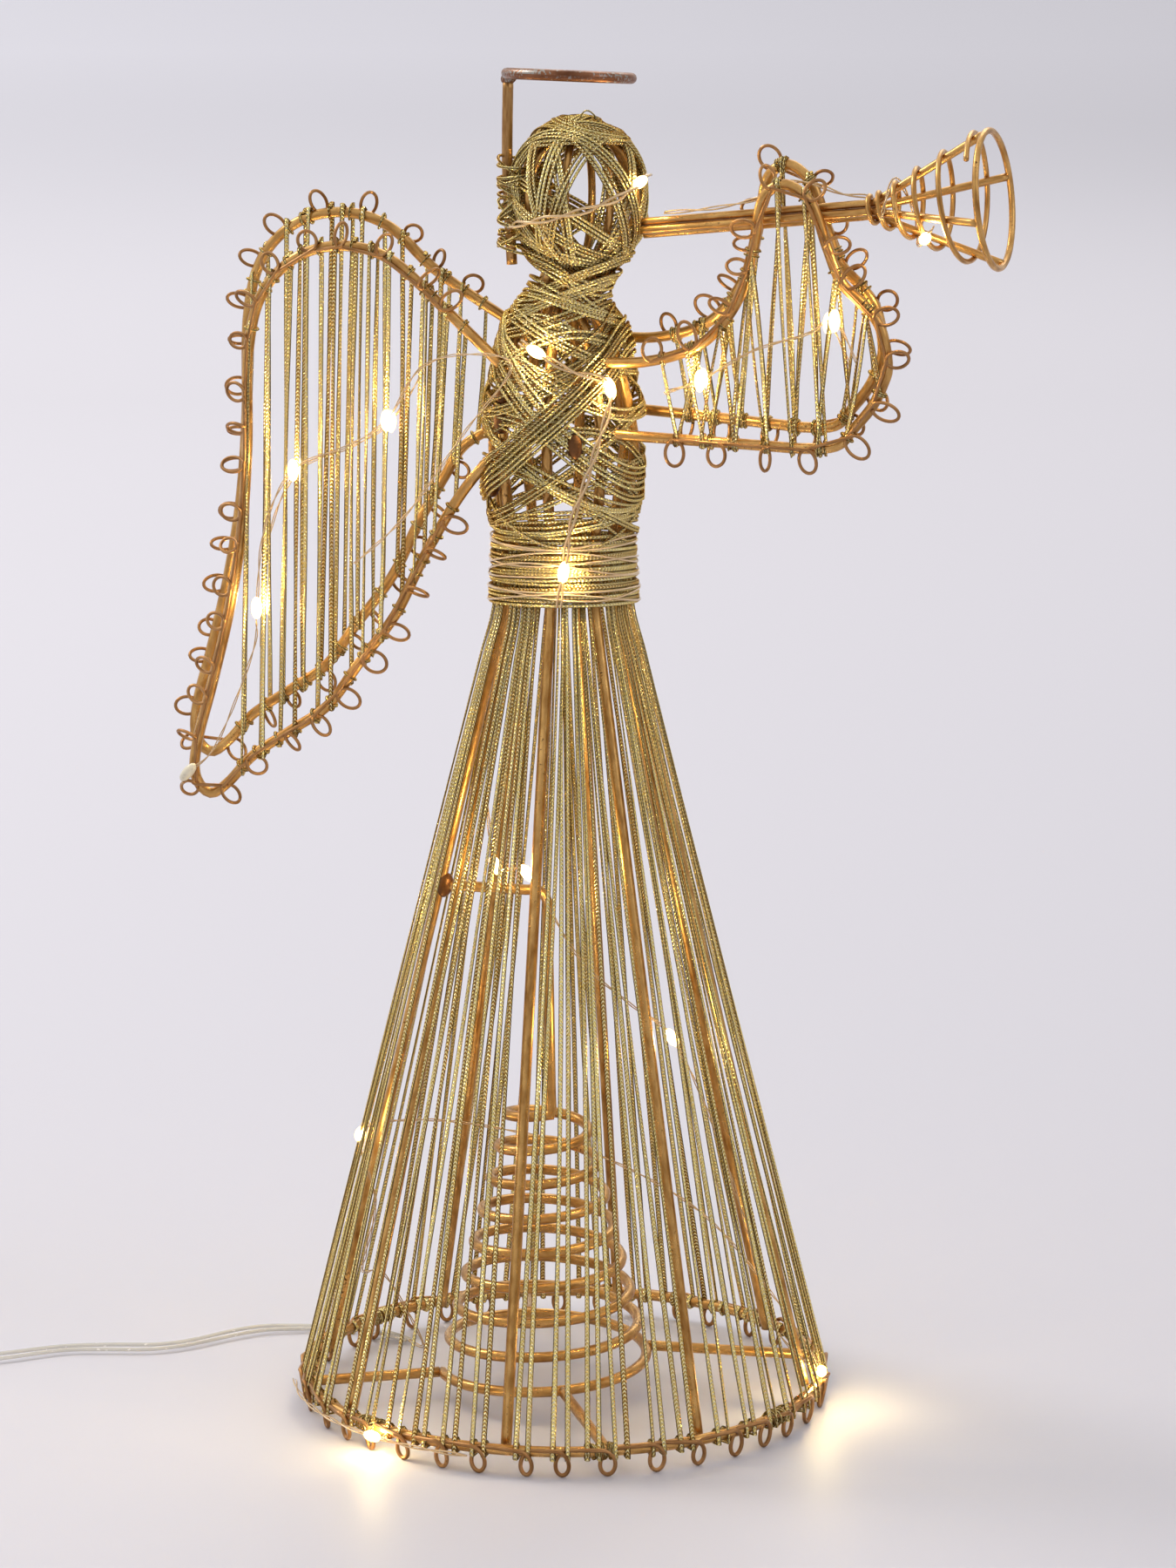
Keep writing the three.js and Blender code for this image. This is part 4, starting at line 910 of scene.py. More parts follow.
@dataclass
class Skirt(Figure):
    """Plaited strings in pairs from the hoop to the waist."""

    pairs: int = 6
    pair_gap: float = 1.4
    spread: float = 0.95
    string: float = 0.65
    top_string: float = 0.41
    flat: float = 0.5
    top_radius: float = 15.4
    top: float = 202.0
    bunch: float = 0.64
    edge_turn: float = 1.2
    tufts: Sequence[float] = (-2.2, -1.25, -0.45, 2.6)
    tuft_turns: int = 9
    tuft_step: float = 0.011
    tuft_clear: float = 0.45
    tuft_thread: float = 0.36

    def build(self) -> None:
        """Makes the strings, hooked round the hoop."""
        strands = Strands("skirt strings")
        sector = TURN / self.shape.ribs
        for rib in range(self.shape.ribs):
            for k in range(self.pairs):
                share = (k + 0.5) / self.pairs - 0.5
                pair = sector * (rib + 0.5 + share * self.spread) + self.jitter(0.012)
                for side in (-1, 1):
                    foot = pair + side * (self.pair_gap + self.jitter(0.35)) / self.shape.hoop_radius
                    near = share + side * 0.25 / self.pairs
                    head = sector * (rib + 0.5 + near * self.bunch) + self.jitter(0.05)
                    self._string(strands, foot, head)
        for angle in self.tufts:
            for k in range(self.tuft_turns):
                at = angle + self.tuft_step * k + self.jitter(0.004)
                strands.ring(
                    polar(self.shape.hoop_radius, at, self.shape.hoop_height),
                    polar(1, angle + math.pi / 2 + self.jitter(0.4), self.jitter(0.3)),
                    self.shape.rod + self.tuft_clear + self.jitter(0.2),
                    self.tuft_thread,
                    14,
                    flat=0.8,
                )
        strands.make(self.finishes.thread, Body.TOPPER, ["skirt_strings"])

    def _string(self, strands: Strands, foot: float, head: float) -> None:
        """Adds one string.

        Args:
            strands: Mesh to add to.
            foot: Angle at the hoop.
            head: Angle at the waist.
        """
        shape = self.shape
        hook = shape.rod + self.string * self.flat + 0.05
        line = []
        for turn in np.linspace(math.radians(100), math.radians(340), 9):
            radius = shape.hoop_radius + hook * math.cos(turn)
            line.append(polar(radius, foot, shape.hoop_height + hook * math.sin(turn)))
        low = line[-1]
        bow = self.jitter(0.018)
        drift = self.jitter(0.5)
        upper = self.top_radius + self.jitter(0.5)
        start = math.hypot(low[0], low[1])
        for share in np.linspace(0.06, 1.0, 16):
            z = low[2] + (shape.waist_low - low[2]) * share
            radius = start + (upper - start) * share
            angle = foot + (head - foot) * share**1.25 + bow * math.sin(math.pi * share)
            line.append(polar(radius + drift * math.sin(math.pi * share), angle, z))
        line.append(polar(upper, head, self.top))
        path = spline(line, 2.2)
        count = np.arange(len(path))
        wave = 0.35 * np.sin(count * 0.11 + self.jitter(3)) + self.jitter(0.3)
        turned = wave + self.edge_turn * (count / len(path)) ** 3
        drawn = np.linspace(self.string, self.top_string, len(path))
        strands.tube(path, drawn, 6, flat=self.flat, lead=polar(1, foot + math.pi / 2, 0), twist=turned)


@dataclass
class Bundle:
    """Threads side by side round the body.

    A bundle has a height, a rise to its high side, the angle of that side, a distance out and a count.
    """

    base: float
    slant: float
    turn: float
    over: float
    count: int


@dataclass
class Bands(Figure):
    """Thread wound round the waist, the chest and the neck."""

    thread: float = 0.4
    apart: float = 2.3
    waist_turns: int = 17
    waist_radius: float = 17.1
    waist_taper: float = 0.9
    waist_tilt: float = 0.075
    waist_first: float = 0.6
    waist_rise: float = 15.2
    near: float = -1.35
    wire: float = 0.26
    wire_loops: int = 9
    steps: int = 64
    cover: Sequence[Pair] = (
        (16.4, 203), (16.9, 208), (17.6, 215), (18.2, 226), (17.9, 234), (16.9, 239), (15.2, 245),
        (13.9, 250), (12.9, 253), (10.9, 256), (9.5, 259), (9.5, 262), (10.9, 265), (12.7, 268),
        (14.2, 271),
    )
    crosses: Sequence[Bundle] = (
        Bundle(233, -17, -0.1, 0.9, 7), Bundle(232.5, 17, 0.12, 1.6, 7), Bundle(242, 10, 0.4, 0.5, 3),
        Bundle(243, -11, -0.3, 0.7, 3), Bundle(247, 8, 0.9, 0.4, 3), Bundle(248, -7, 0.2, 0.6, 3),
        Bundle(221, 13, 0.3, 0.7, 3), Bundle(222, -12, -0.4, 0.5, 3), Bundle(214, 8, 0.2, 0.5, 2),
        Bundle(213, -9, 0.5, 0.6, 2), Bundle(209, 3, 1.0, 0.3, 3), Bundle(207, -3, 2.0, 0.3, 3),
    )
    loose: int = 5
    strays: int = 10
    chest_middle: float = 228.0
    neck_bundles: int = 9
    neck_run: Pair = (251.0, 13.0)

    def build(self) -> None:
        """Makes the three bands."""
        self._waist()
        chest = Strands("chest band")
        for bundle in self.crosses:
            self._bundle(chest, bundle)
        for count, number in ((2, self.loose), (1, self.strays)):
            for _ in range(number):
                slant = (7 + abs(self.jitter(9))) * (1 if self.random.random() < 0.5 else -1)
                base = self.chest_middle + self.jitter(17)
                turn = self.jitter(1.5)
                over = 0.4 + self.jitter(0.4)
                self._bundle(chest, Bundle(base, slant, turn, over, count))
        chest.make(self.finishes.thread, Body.TOPPER, ["torso_wrap"])
        neck = Strands("neck band")
        for i in range(self.neck_bundles):
            base = self.neck_run[0] + self.neck_run[1] * i / (self.neck_bundles - 1) + self.jitter(0.8)
            slant = (3.0 + abs(self.jitter(4.5))) * (1 if i % 2 else -1)
            self._bundle(neck, Bundle(base, slant, self.jitter(0.9), 0.3 + self.jitter(0.3), 3))
        neck.make(self.finishes.thread, Body.TOPPER, ["neck_wrap"])

    def _waist(self) -> None:
        """Makes the band of the waist, with loops of light wire over the thread."""
        angle = angles(self.steps)
        waist = Strands("waist band")
        wires = Strands("waist wire")
        tilt = self.waist_tilt * self.waist_radius
        for i in range(self.waist_turns + self.wire_loops):
            over = i >= self.waist_turns
            share = self.random.random() if over else i / (self.waist_turns - 1)
            lean = self.jitter(2.6) if over else self.jitter(0.45)
            waves = 2 if over else 1
            z = self.shape.waist_low + self.waist_first + self.waist_rise * share
            z = z + tilt * np.cos(angle - self.near) + lean * np.cos(angle * waves + self.jitter(3))
            z = np.clip(z, self.shape.waist_low - 1.5, self.shape.waist_high + 1.5)
            wide = self.waist_radius - self.waist_taper * share + (0.55 if over else self.jitter(0.25))
            reach = wide * self.shape.facet(angle, 0.2)
            line = np.stack([reach * np.cos(angle), reach * np.sin(angle), z], axis=1)
            if over:
                wires.tube(line, self.wire, 6, closed=True)
            else:
                waist.tube(line, self.thread * 1.1, 6, closed=True, flat=0.85, lead=UP)
        waist.make(self.finishes.thread, Body.TOPPER, ["waist_wrap"])
        wires.make(self.finishes.wire, Body.TOPPER)

    def _bundle(self, strands: Strands, bundle: Bundle) -> None:
        """Adds threads side by side round the chest or the neck.

        Args:
            strands: Mesh to add to.
            bundle: The threads.
        """
        angle = angles(self.steps)
        rings = np.array(self.cover, dtype=float)
        pitch = self.apart * self.thread * math.hypot(1, bundle.slant / self.waist_radius)
        for i in range(bundle.count):
            base = bundle.base + (i - (bundle.count - 1) / 2) * pitch + self.jitter(0.14)
            z = base + (bundle.slant + self.jitter(0.35)) * np.cos(angle - bundle.turn + self.jitter(0.02))
            z = np.clip(z, rings[0, 1], rings[-1, 1])
            wide = np.interp(z, rings[:, 1], rings[:, 0]) + bundle.over + self.jitter(0.2)
            reach = wide * self.shape.facet(angle, 0.45)
            line = np.stack([reach * np.cos(angle) + self.shape.lean(z), reach * np.sin(angle), z], axis=1)
            strands.tube(line, self.thread, 6, closed=True, flat=0.9, lead=UP)


@dataclass
class Head(Figure):
    """Head of crossing rod rings under bundles of thread."""

    centre: Triple = (3.5, 0.0, 279.8)
    cage: Pair = (13.2, 15.2)
    rod: float = 0.9
    rings: int = 4
    wrap: Pair = (15.4, 18.2)
    thread: float = 0.4
    apart: float = 2.3
    crown: int = 8
    crown_fall: Pair = (10.0, 38.0)
    girdle: int = 4
    girdle_fall: Pair = (102.0, 30.0)
    great_fall: float = 94.0
    great: Sequence[Pair] = (
        (58, -70), (55, -110), (62, 75), (60, 110), (66, -60), (64, -125), (78, 8), (80, 172),
        (50, -90), (72, -20), (70, 160), (60, 40),
    )
    stray: Sequence[Triple] = (
        (4.4, -3.0, 296.4), (5.0, -3.2, 298.6), (6.4, -3.2, 299.4), (8.4, -2.9, 297.6), (11.0, -2.4, 293.2),
    )
    steps: int = 56

    def build(self) -> None:
        """Makes the cage and the wrap."""
        middle = np.array(self.centre)
        cage = Strands("head rods")
        turn = angles(72)
        for i in range(self.rings):
            heading = polar(1, math.pi * i / self.rings, 0)
            level = self.cage[0] * np.outer(np.cos(turn), heading)
            line = middle + level + self.cage[1] * np.outer(np.sin(turn), UP)
            cage.tube(line, self.rod, 9, closed=True)
        cage.make(self.finishes.rod, Body.TOPPER, ["head_cage"])

        wrap = Strands("head thread")
        for i in range(self.crown):
            fall = self.crown_fall[0] + self.crown_fall[1] * (i + 0.5) / self.crown
            self._bundle(wrap, fall + self.jitter(2), self.jitter(16), self.jitter(180), 3)
        for i in range(self.girdle):
            fall = self.girdle_fall[0] + self.girdle_fall[1] * (i + 0.5) / self.girdle
            self._bundle(wrap, fall + self.jitter(3), 12 + abs(self.jitter(20)), self.jitter(180), 3)
        for tilt, way in self.great:
            fall = self.great_fall + self.jitter(12)
            self._bundle(wrap, fall, tilt + self.jitter(5), way + self.jitter(8), 3)
        wrap.tube(spline(self.stray, 0.6), 0.2, 6)
        wrap.make(self.finishes.thread, Body.TOPPER, ["head_wrap"])

    def _bundle(self, wrap: Strands, fall: float, tilt: float, turn: float, count: int) -> None:
        """Adds loops of thread side by side.

        Args:
            wrap: Mesh to add to.
            fall: Angle from the loops' pole, in degrees.
            tilt: Lean of the pole, in degrees.
            turn: Direction of that lean, in degrees.
            count: Number of loops.
        """
        pole = unit(polar(math.tan(math.radians(min(abs(tilt), 80))), math.radians(turn), 1))
        first = unit(np.cross(pole, vec(0.3, 1, 0)))
        second = np.cross(pole, first)
        spin = angles(self.steps)
        apart = math.degrees(self.apart * self.thread / self.wrap[0])
        over = self.jitter(0.45)
        for i in range(count):
            at = math.radians(fall + (i - (count - 1) / 2) * apart + self.jitter(0.6))
            circle = np.outer(np.cos(spin), first) + np.outer(np.sin(spin), second)
            ball = math.cos(at) * pole + math.sin(at) * circle
            off = over + self.jitter(0.15)
            size = np.array([self.wrap[0] + off, self.wrap[0] + off, self.wrap[1] + off])
            wrap.tube(np.array(self.centre) + ball * size, self.thread, 6, closed=True, flat=0.9, lead=pole)


@dataclass
class Halo(Figure):
    """Halo ring on a post that is bound to the back of the head."""

    radius: float = 13.9
    centre: Triple = (1.3, 0.0, 306.8)
    lean: float = math.radians(4)
    roll: float = math.radians(1.5)
    binding: int = 20
    thread: float = 0.36
    head: Pair = (3.5, 15.9)
    bound: Pair = (268.5, 18.5)
    back: float = 14.6
    post: Sequence[Triple] = ((-12.7, 0.0, 305.2), (-12.9, 0.0, 285.5), (-11.9, 0.0, 264.5))

    def build(self) -> None:
        """Makes the ring, the post and its binding."""
        ring = Strands("halo")
        axis = vec(math.sin(self.roll), math.sin(self.lean), math.cos(self.lean))
        ring.ring(np.array(self.centre), axis, self.radius, self.shape.rod, 72, sides=12)
        weld = np.array(self.post[0])
        ring.blob(weld + vec(0.2, 0, 0.9), vec(1, 0, 0.4), 3.8, 1.5)
        ring.make(self.finishes.halo, Body.TOPPER, ["halo_ring"])
        post = Strands("halo post")
        post.tube(spline(self.post, 1.5), self.shape.rod, 12)
        post.make(self.finishes.post, Body.TOPPER, ["halo_post"])
        binding = Strands("post binding")
        turn = angles(28)
        for i in range(self.binding):
            z = self.bound[0] + self.bound[1] * i / (self.binding - 1) + self.jitter(0.4)
            wide = 2.8 + abs(self.jitter(3.6))
            rise = self.jitter(4.0)
            inside = max(0.0, self.head[1] ** 2 - (self.back + self.head[0] - wide) ** 2)
            across = max(2.3, math.sqrt(inside)) + self.jitter(0.3)
            x = wide * (1 + np.cos(turn)) - self.back
            line = np.stack([x, across * np.sin(turn), z + rise * np.cos(turn)], axis=1)
            binding.tube(line, self.thread, 6, closed=True)
        binding.make(self.finishes.thread, Body.TOPPER)


@dataclass
class Trumpet(Figure):
    """Trumpet of four rods that splay into a bell with a spiral and a rim."""

    mouth: Triple = (18.55, -1.5, 273.4)
    yaw: float = math.radians(-6)
    pitch: float = math.radians(6.2)
    rod: float = 0.9
    bundle: float = 1.485
    tube: float = 54.0
    bell: float = 27.0
    bell_radius: float = 15.0
    rim: float = 0.75
    spiral: float = 0.62
    turns: float = 5.2
    roll: float = math.radians(15)
    count: int = 4
    spiral_start: float = 1.2
    hand_off: float = 4.635

    def at(self, x: float, radius: float, angle: float) -> Array:
        """Point in the figure's frame.

        Args:
            x: Distance from the mouthpiece along the axis.
            radius: Distance from the axis.
            angle: Angle round the axis.

        Returns:
            The point.
        """
        y, z = radius * math.cos(angle), radius * math.sin(angle)
        forward = x * math.cos(self.pitch) - z * math.sin(self.pitch)
        up = x * math.sin(self.pitch) + z * math.cos(self.pitch)
        turned = vec(forward * math.cos(self.yaw) - y * math.sin(self.yaw), 0, up)
        turned[1] = forward * math.sin(self.yaw) + y * math.cos(self.yaw)
        return np.array(self.mouth) + turned

    def flare(self, x: float) -> float:
        """Distance of the bell's rods from the axis."""
        share = max(0.0, (x - self.tube) / self.bell)
        return self.bundle + (self.bell_radius - self.bundle) * share

    def hand(self, side: Side) -> float:
        """Place of a hand on the trumpet.

        Args:
            side: Side of the figure.

        Returns:
            Distance to the left of the middle.
        """
        grip = self.mouth[1] + (self.shape.hold - self.mouth[0]) * math.tan(self.yaw)
        return grip + side.value * self.hand_off

    def build(self) -> None:
        """Makes the rods, the spiral and the rim."""
        rods = Strands("trumpet rods")
        end = self.tube + self.bell
        for i in range(self.count):
            angle = self.roll + TURN / self.count * i
            places = [*np.linspace(0, self.tube - 3, 12), *np.linspace(self.tube, end - 0.3, 12)]
            rods.tube(spline([self.at(x, self.flare(x), angle) for x in places], 1.5), self.rod, 9)
        rods.make(self.finishes.rod, Body.TOPPER, [f"trumpet_rod_{i + 1}" for i in range(self.count)])
        bell = Strands("trumpet bell")
        turn = angles(64)
        bell.tube(np.array([self.at(end, self.bell_radius, a) for a in turn]), self.rim, 9, closed=True)
        spiral = []
        for share in np.linspace(0, 1, 220):
            x = self.tube - 1.0 + (self.bell - 1.2) * share**1.55
            angle = TURN * self.turns * share + self.spiral_start
            spiral.append(self.at(x, self.flare(x) + self.rod + self.spiral, angle))
        bell.tube(resample(spiral, 0.9), self.spiral, 8)
        bell.make(self.finishes.rod, Body.TOPPER, ["bell_rim", "bell_spiral"])


@dataclass
class Panel(Figure):
    """A wing or a sleeve: a bent rod frame with curls along it and strings across."""

    name: str = ""
    origin: Array = field(default_factory=lambda: np.zeros(3))
    run: Array = field(default_factory=lambda: vec(1, 0, 0))
    aside: Array = field(default_factory=lambda: vec(0, 1, 0))
    outline: Sequence[Pair] = ()
    inward: float = 1.0
    curls: int = 29
    curl_size: Pair = (3.9, 4.9)
    curl_wire: float = 0.4
    curl_steps: int = 18
    strings: int = 13
    doubled: float = 0.25
    string: float = 0.56
    flat: float = 0.5
    lace: Pair = (-71.0, -25.0)
    slant: float = 1.2
    zigzag: bool = False

    def at(self, x: float, z: float, off: float = 0.0) -> Array:
        """Point of the panel's drawing in the figure's frame.

        Args:
            x: Distance along the drawing.
            z: Height.
            off: Distance out of its plane, away from the figure's middle.

        Returns:
            The point.
        """
        return self.origin + self.run * x + UP * z + self.aside * off

    def build(self) -> None:
        """Makes the frame, the curls and the strings."""
        drawn = spline(self.outline, 1.2)
        frame_rod = Strands(f"{self.name} rod")
        frame_rod.tube(np.array([self.at(x, z) for x, z in drawn]), self.shape.rod, 10)
        frame_rod.make(self.finishes.rod, Body.TOPPER, [f"{self.name}_frame"])
        self._curls(drawn)
        self._strings(drawn)

    def _curls(self, drawn: Array) -> None:
        """Makes the curled wire along the frame.

        Args:
            drawn: Points of the frame.
        """
        edge = resample(drawn, 0.4)
        total = len(edge) - 1
        line = []
        for i in range(self.curls):
            share = 0.05 + 0.9 * (i + 0.5 + self.jitter(0.18)) / self.curls
            at = int(share * total)
            along = unit(edge[min(at + 4, total)] - edge[max(at - 4, 0)])
            out = np.array([along[1], -along[0]]) * self.inward
            width = self.curl_size[0] * (1 + self.jitter(0.15))
            reach = self.curl_size[1] * (1 + self.jitter(0.14))
            tip = self.jitter(0.35)
            yaw = self.jitter(1.1)
            base = self.shape.rod + self.curl_wire
            for k in range(self.curl_steps + 1):
                turn = TURN * k / self.curl_steps
                swing = width / 2 * math.sin(turn) + tip * (1 - math.cos(turn))
                rise = reach / 2 * (1 - math.cos(turn))
                x, z = edge[at] + along * swing * math.cos(yaw) + out * rise
                lift = base * (0.5 + 0.5 * math.cos(turn)) + 0.55 * k / self.curl_steps
                lift += swing * math.sin(yaw)
                line.append(self.at(x, z, lift))
        strands = Strands(f"{self.name} curl wire")
        strands.tube(spline(line, 0.6), self.curl_wire, 7)
        strands.make(self.finishes.curl, Body.TOPPER, [f"{self.name}_curls"])

    def _heights(self, edge: Array, x: float) -> Pair:
        """Lowest and highest crossing of the frame with an upright line.

        Args:
            edge: Points of the frame.
            x: Place of the line.

        Returns:
            The two heights.
        """
        before, after = edge[:-1], edge[1:]
        hit = (before[:, 0] - x) * (after[:, 0] - x) <= 0
        run = after[hit, 0] - before[hit, 0]
        share = (x - before[hit, 0]) / np.where(run == 0, 1e-9, run)
        heights = before[hit, 1] + (after[hit, 1] - before[hit, 1]) * share
        return float(heights.min()), float(heights.max())

    def _strings(self, drawn: Array) -> None:
        """Makes the strings across the frame.

        Args:
            drawn: Points of the frame.
        """
        strands = Strands(f"{self.name} strings")
        first, last = self.lace
        inner, outer = drawn[:, 0].min() + 0.5, drawn[:, 0].max() - 0.5
        face = 1.0
        for i in range(self.strings):
            middle = first + (last - first) * i / (self.strings - 1)
            lean = self.slant * (1 if i % 2 else -1) if self.zigzag else self.slant + self.jitter(0.5)
            copies = 2 if self.random.random() < self.doubled else 1
            for copy in range(copies):
                gap = (copy - (copies - 1) / 2) * self.string * 2.3
                low_x = float(np.clip(middle + gap - lean + self.jitter(0.4), inner, outer))
                high_x = float(np.clip(middle + gap + lean + self.jitter(0.4), inner, outer))
                self._string(strands, drawn, low_x, high_x, face)
                face = -face
        strands.make(self.finishes.thread, Body.TOPPER, [f"{self.name}_strings"])

    def _string(self, strands: Strands, drawn: Array, low_x: float, high_x: float, face: float) -> None:
        """Adds one string with a turn round the frame at each end.

        Args:
            strands: Mesh to add to.
            drawn: Points of the frame.
            low_x: Place of its lower end.
            high_x: Place of its upper end.
            face: Side of the frame that it lies on.
        """
        low, _ = self._heights(drawn, low_x)
        _, high = self._heights(drawn, high_x)
        off = self.shape.rod + self.string * 0.55
        bow = self.jitter(0.5)
        ends = [(low_x, low - off * 0.8, -0.5), (low_x, low - off, 0.25), (low_x, low, 1.0)]
        line = [self.at(x, z, off * face * side) for x, z, side in ends]
        for share in (0.3, 0.5, 0.7):
            x = low_x + (high_x - low_x) * share + bow * math.sin(math.pi * share)
            line.append(self.at(x, low + (high - low) * share, off * face * 0.8))
        line += [
            self.at(high_x, high, off * face),
            self.at(high_x, high + off, off * face * 0.25),
            self.at(high_x, high + off * 0.8, -off * face * 0.5),
        ]
        path = spline(line, 1.8)
        wave = 0.5 * np.sin(np.arange(len(path)) * 0.13 + self.jitter(3)) + self.jitter(0.7)
        strands.tube(path, self.string, 6, flat=self.flat, lead=self.run, twist=wave)
        for x, z in ((low_x, low), (high_x, high)):
            at = int(np.argmin(np.hypot(drawn[:, 0] - x, drawn[:, 1] - z)))
            heading = drawn[min(at + 1, len(drawn) - 1)] - drawn[max(at - 1, 0)]
            axis = self.run * heading[0] + UP * heading[1]
            centre = self.at(x, z) + unit(axis) * self.jitter(0.5)
            tilted = axis + self.aside * self.jitter(0.4)
            strands.ring(centre, tilted, self.shape.rod + 0.3, 0.32, 14, flat=0.85)


def wing(shape: BodyShape, finishes: Finishes, side: Side) -> Panel:
    """One wing.

    Args:
        shape: Outline of the body.
        finishes: Finishes.
        side: Side of the figure.

    Returns:
        The wing.
    """
    sign = side.value
    back = -3.0 * sign
    upper = shape.wing_root + 2.8 * sign
    lower = upper - 18.0
    drawn = [
        (-28, 14), (-40, 24.5), (-51, 27.6), (-62, 25), (-70.5, 16.5), (-74, 3), (-74.6, -19), (-76.3, -39),
        (-79.5, -57), (-83.5, -73), (-87.5, -87.5), (-88, -95.5), (-84.5, -99.4), (-80, -96.5), (-74, -90),
        (-64.5, -83.5), (-56, -77.5), (-49, -68), (-40, -56), (-34, -44), (-27.5, -32.5), (-22, -24.5),
    ]
    root = float(shape.radius(upper)) * math.sqrt(0.5) + 0.9
    foot = float(shape.radius(lower)) * math.sqrt(0.5) + 1.6
    return Panel(
        shape,
        finishes,
        seed=11 + sign,
        name=f"{side.name.lower()}_wing",
        origin=vec(0, shape.wing_apart * sign, 0),
        aside=vec(0, sign, 0),
        outline=[(-root, upper), *((x + back, z + upper) for x, z in drawn), (-foot, lower)],
        lace=(-74.5 + back, -22.0),
    )


def sleeve(shape: BodyShape, finishes: Finishes, side: Side, hand: float) -> Panel:
    """One sleeve.

    Args:
        shape: Outline of the body.
        finishes: Finishes.
        side: Side of the figure.
        hand: Distance to the left of the middle where the hand holds the trumpet.

    Returns:
        The sleeve.
    """
    sign = side.value
    body = shape.sleeve_apart * sign
    turn = math.atan2(hand - body, shape.hold)
    upper = shape.sleeve_root + 1.8 * sign
    lower = upper - 16.0
    drawn = [
        (20, 0.3), (29.5, 2.6), (36.3, 6.8), (42.3, 15.4), (45.4, 26.6), (47.4, 37), (52.2, 40.3),
        (57.2, 37.4), (59.7, 33), (61.7, 27), (65, 19.1), (70, 14.2), (73.8, 9.2), (75.5, 1),
        (74.5, -3.4), (72.1, -8.4), (68.2, -13.2), (64.4, -17.2), (57, -18), (47.6, -17.6),
    ]
    return Panel(
        shape,
        finishes,
        seed=21 + sign,
        name=f"{side.name.lower()}_sleeve",
        origin=vec(0, body, 0),
        run=vec(math.cos(turn), math.sin(turn), 0),
        aside=vec(-sign * math.sin(turn), sign * math.cos(turn), 0),
        outline=[(9.8, upper), *((x, z + upper) for x, z in drawn), (12.6, lower)],
        inward=-1.0,
        curls=17,
        curl_size=(4.3, 5.6),
        strings=15,
        doubled=0.45,
        string=0.44,
        flat=0.6,
        lace=(27.0, 72.0),
        slant=1.9,
        zigzag=True,
    )


@dataclass
class Mount(Figure):
    """Conical spiral inside the skirt with its riser, bar and spokes."""

    forward: float = -4.5
    radii: Pair = (24.5, 8.5)
    turns: float = 8.25
    pitch: float = 7.7
    start: float = math.radians(202.5)
    bar: Triple = (-3.8, -0.9, 120.5)
    spokes: int = 4

    def point(self, turns: float, wider: float = 0.0) -> Array:
        """Point of the spiral.

        Args:
            turns: Turns from its start.
            wider: Distance outside its centre line.

        Returns:
            The point.
        """
        radius = self.radii[0] + (self.radii[1] - self.radii[0]) * turns / self.turns + wider
        z = self.shape.hoop_height + self.pitch * turns
        return polar(radius, self.start + TURN * turns, z) + vec(self.forward, 0, 0)

    def build(self) -> None:
        """Makes the spiral and the spokes."""
        rods = Strands("tree mount")
        line = [self.point(t) for t in np.linspace(0, self.turns, 300)]
        top = np.array(self.bar)
        back = vec(-float(self.shape.radius(top[2])) + 1.6, 0, top[2])
        rise = [line[-1] + (top - line[-1]) * s for s in np.linspace(0.08, 0.96, 12)]
        cross = [top + (back - top) * s for s in np.linspace(0.08, 1, 8)]
        rods.tube(spline([*line, *rise, *cross], 1.6), self.shape.rod, 9)
        nodes = ["mount_coil"]
        for i in range(self.spokes):
            turns = i / self.spokes
            angle = self.start + TURN * turns
            outer = polar(self.shape.hoop_radius - 1.0, angle, self.shape.hoop_height)
            rods.tube(resample([self.point(turns, 0.8), outer], 2.0), self.shape.rod, 9)
            nodes.append(f"coil_spoke_{i + 1}")
        rods.make(self.finishes.rod, Body.TOPPER, nodes)
        joint = Strands("bar solder")
        joint.blob(back - vec(0.4, 0, 0), UP + vec(0.25, 0, 0), 6.0, 2.0)
        joint.make(self.finishes.solder, Body.TOPPER)


# Lights


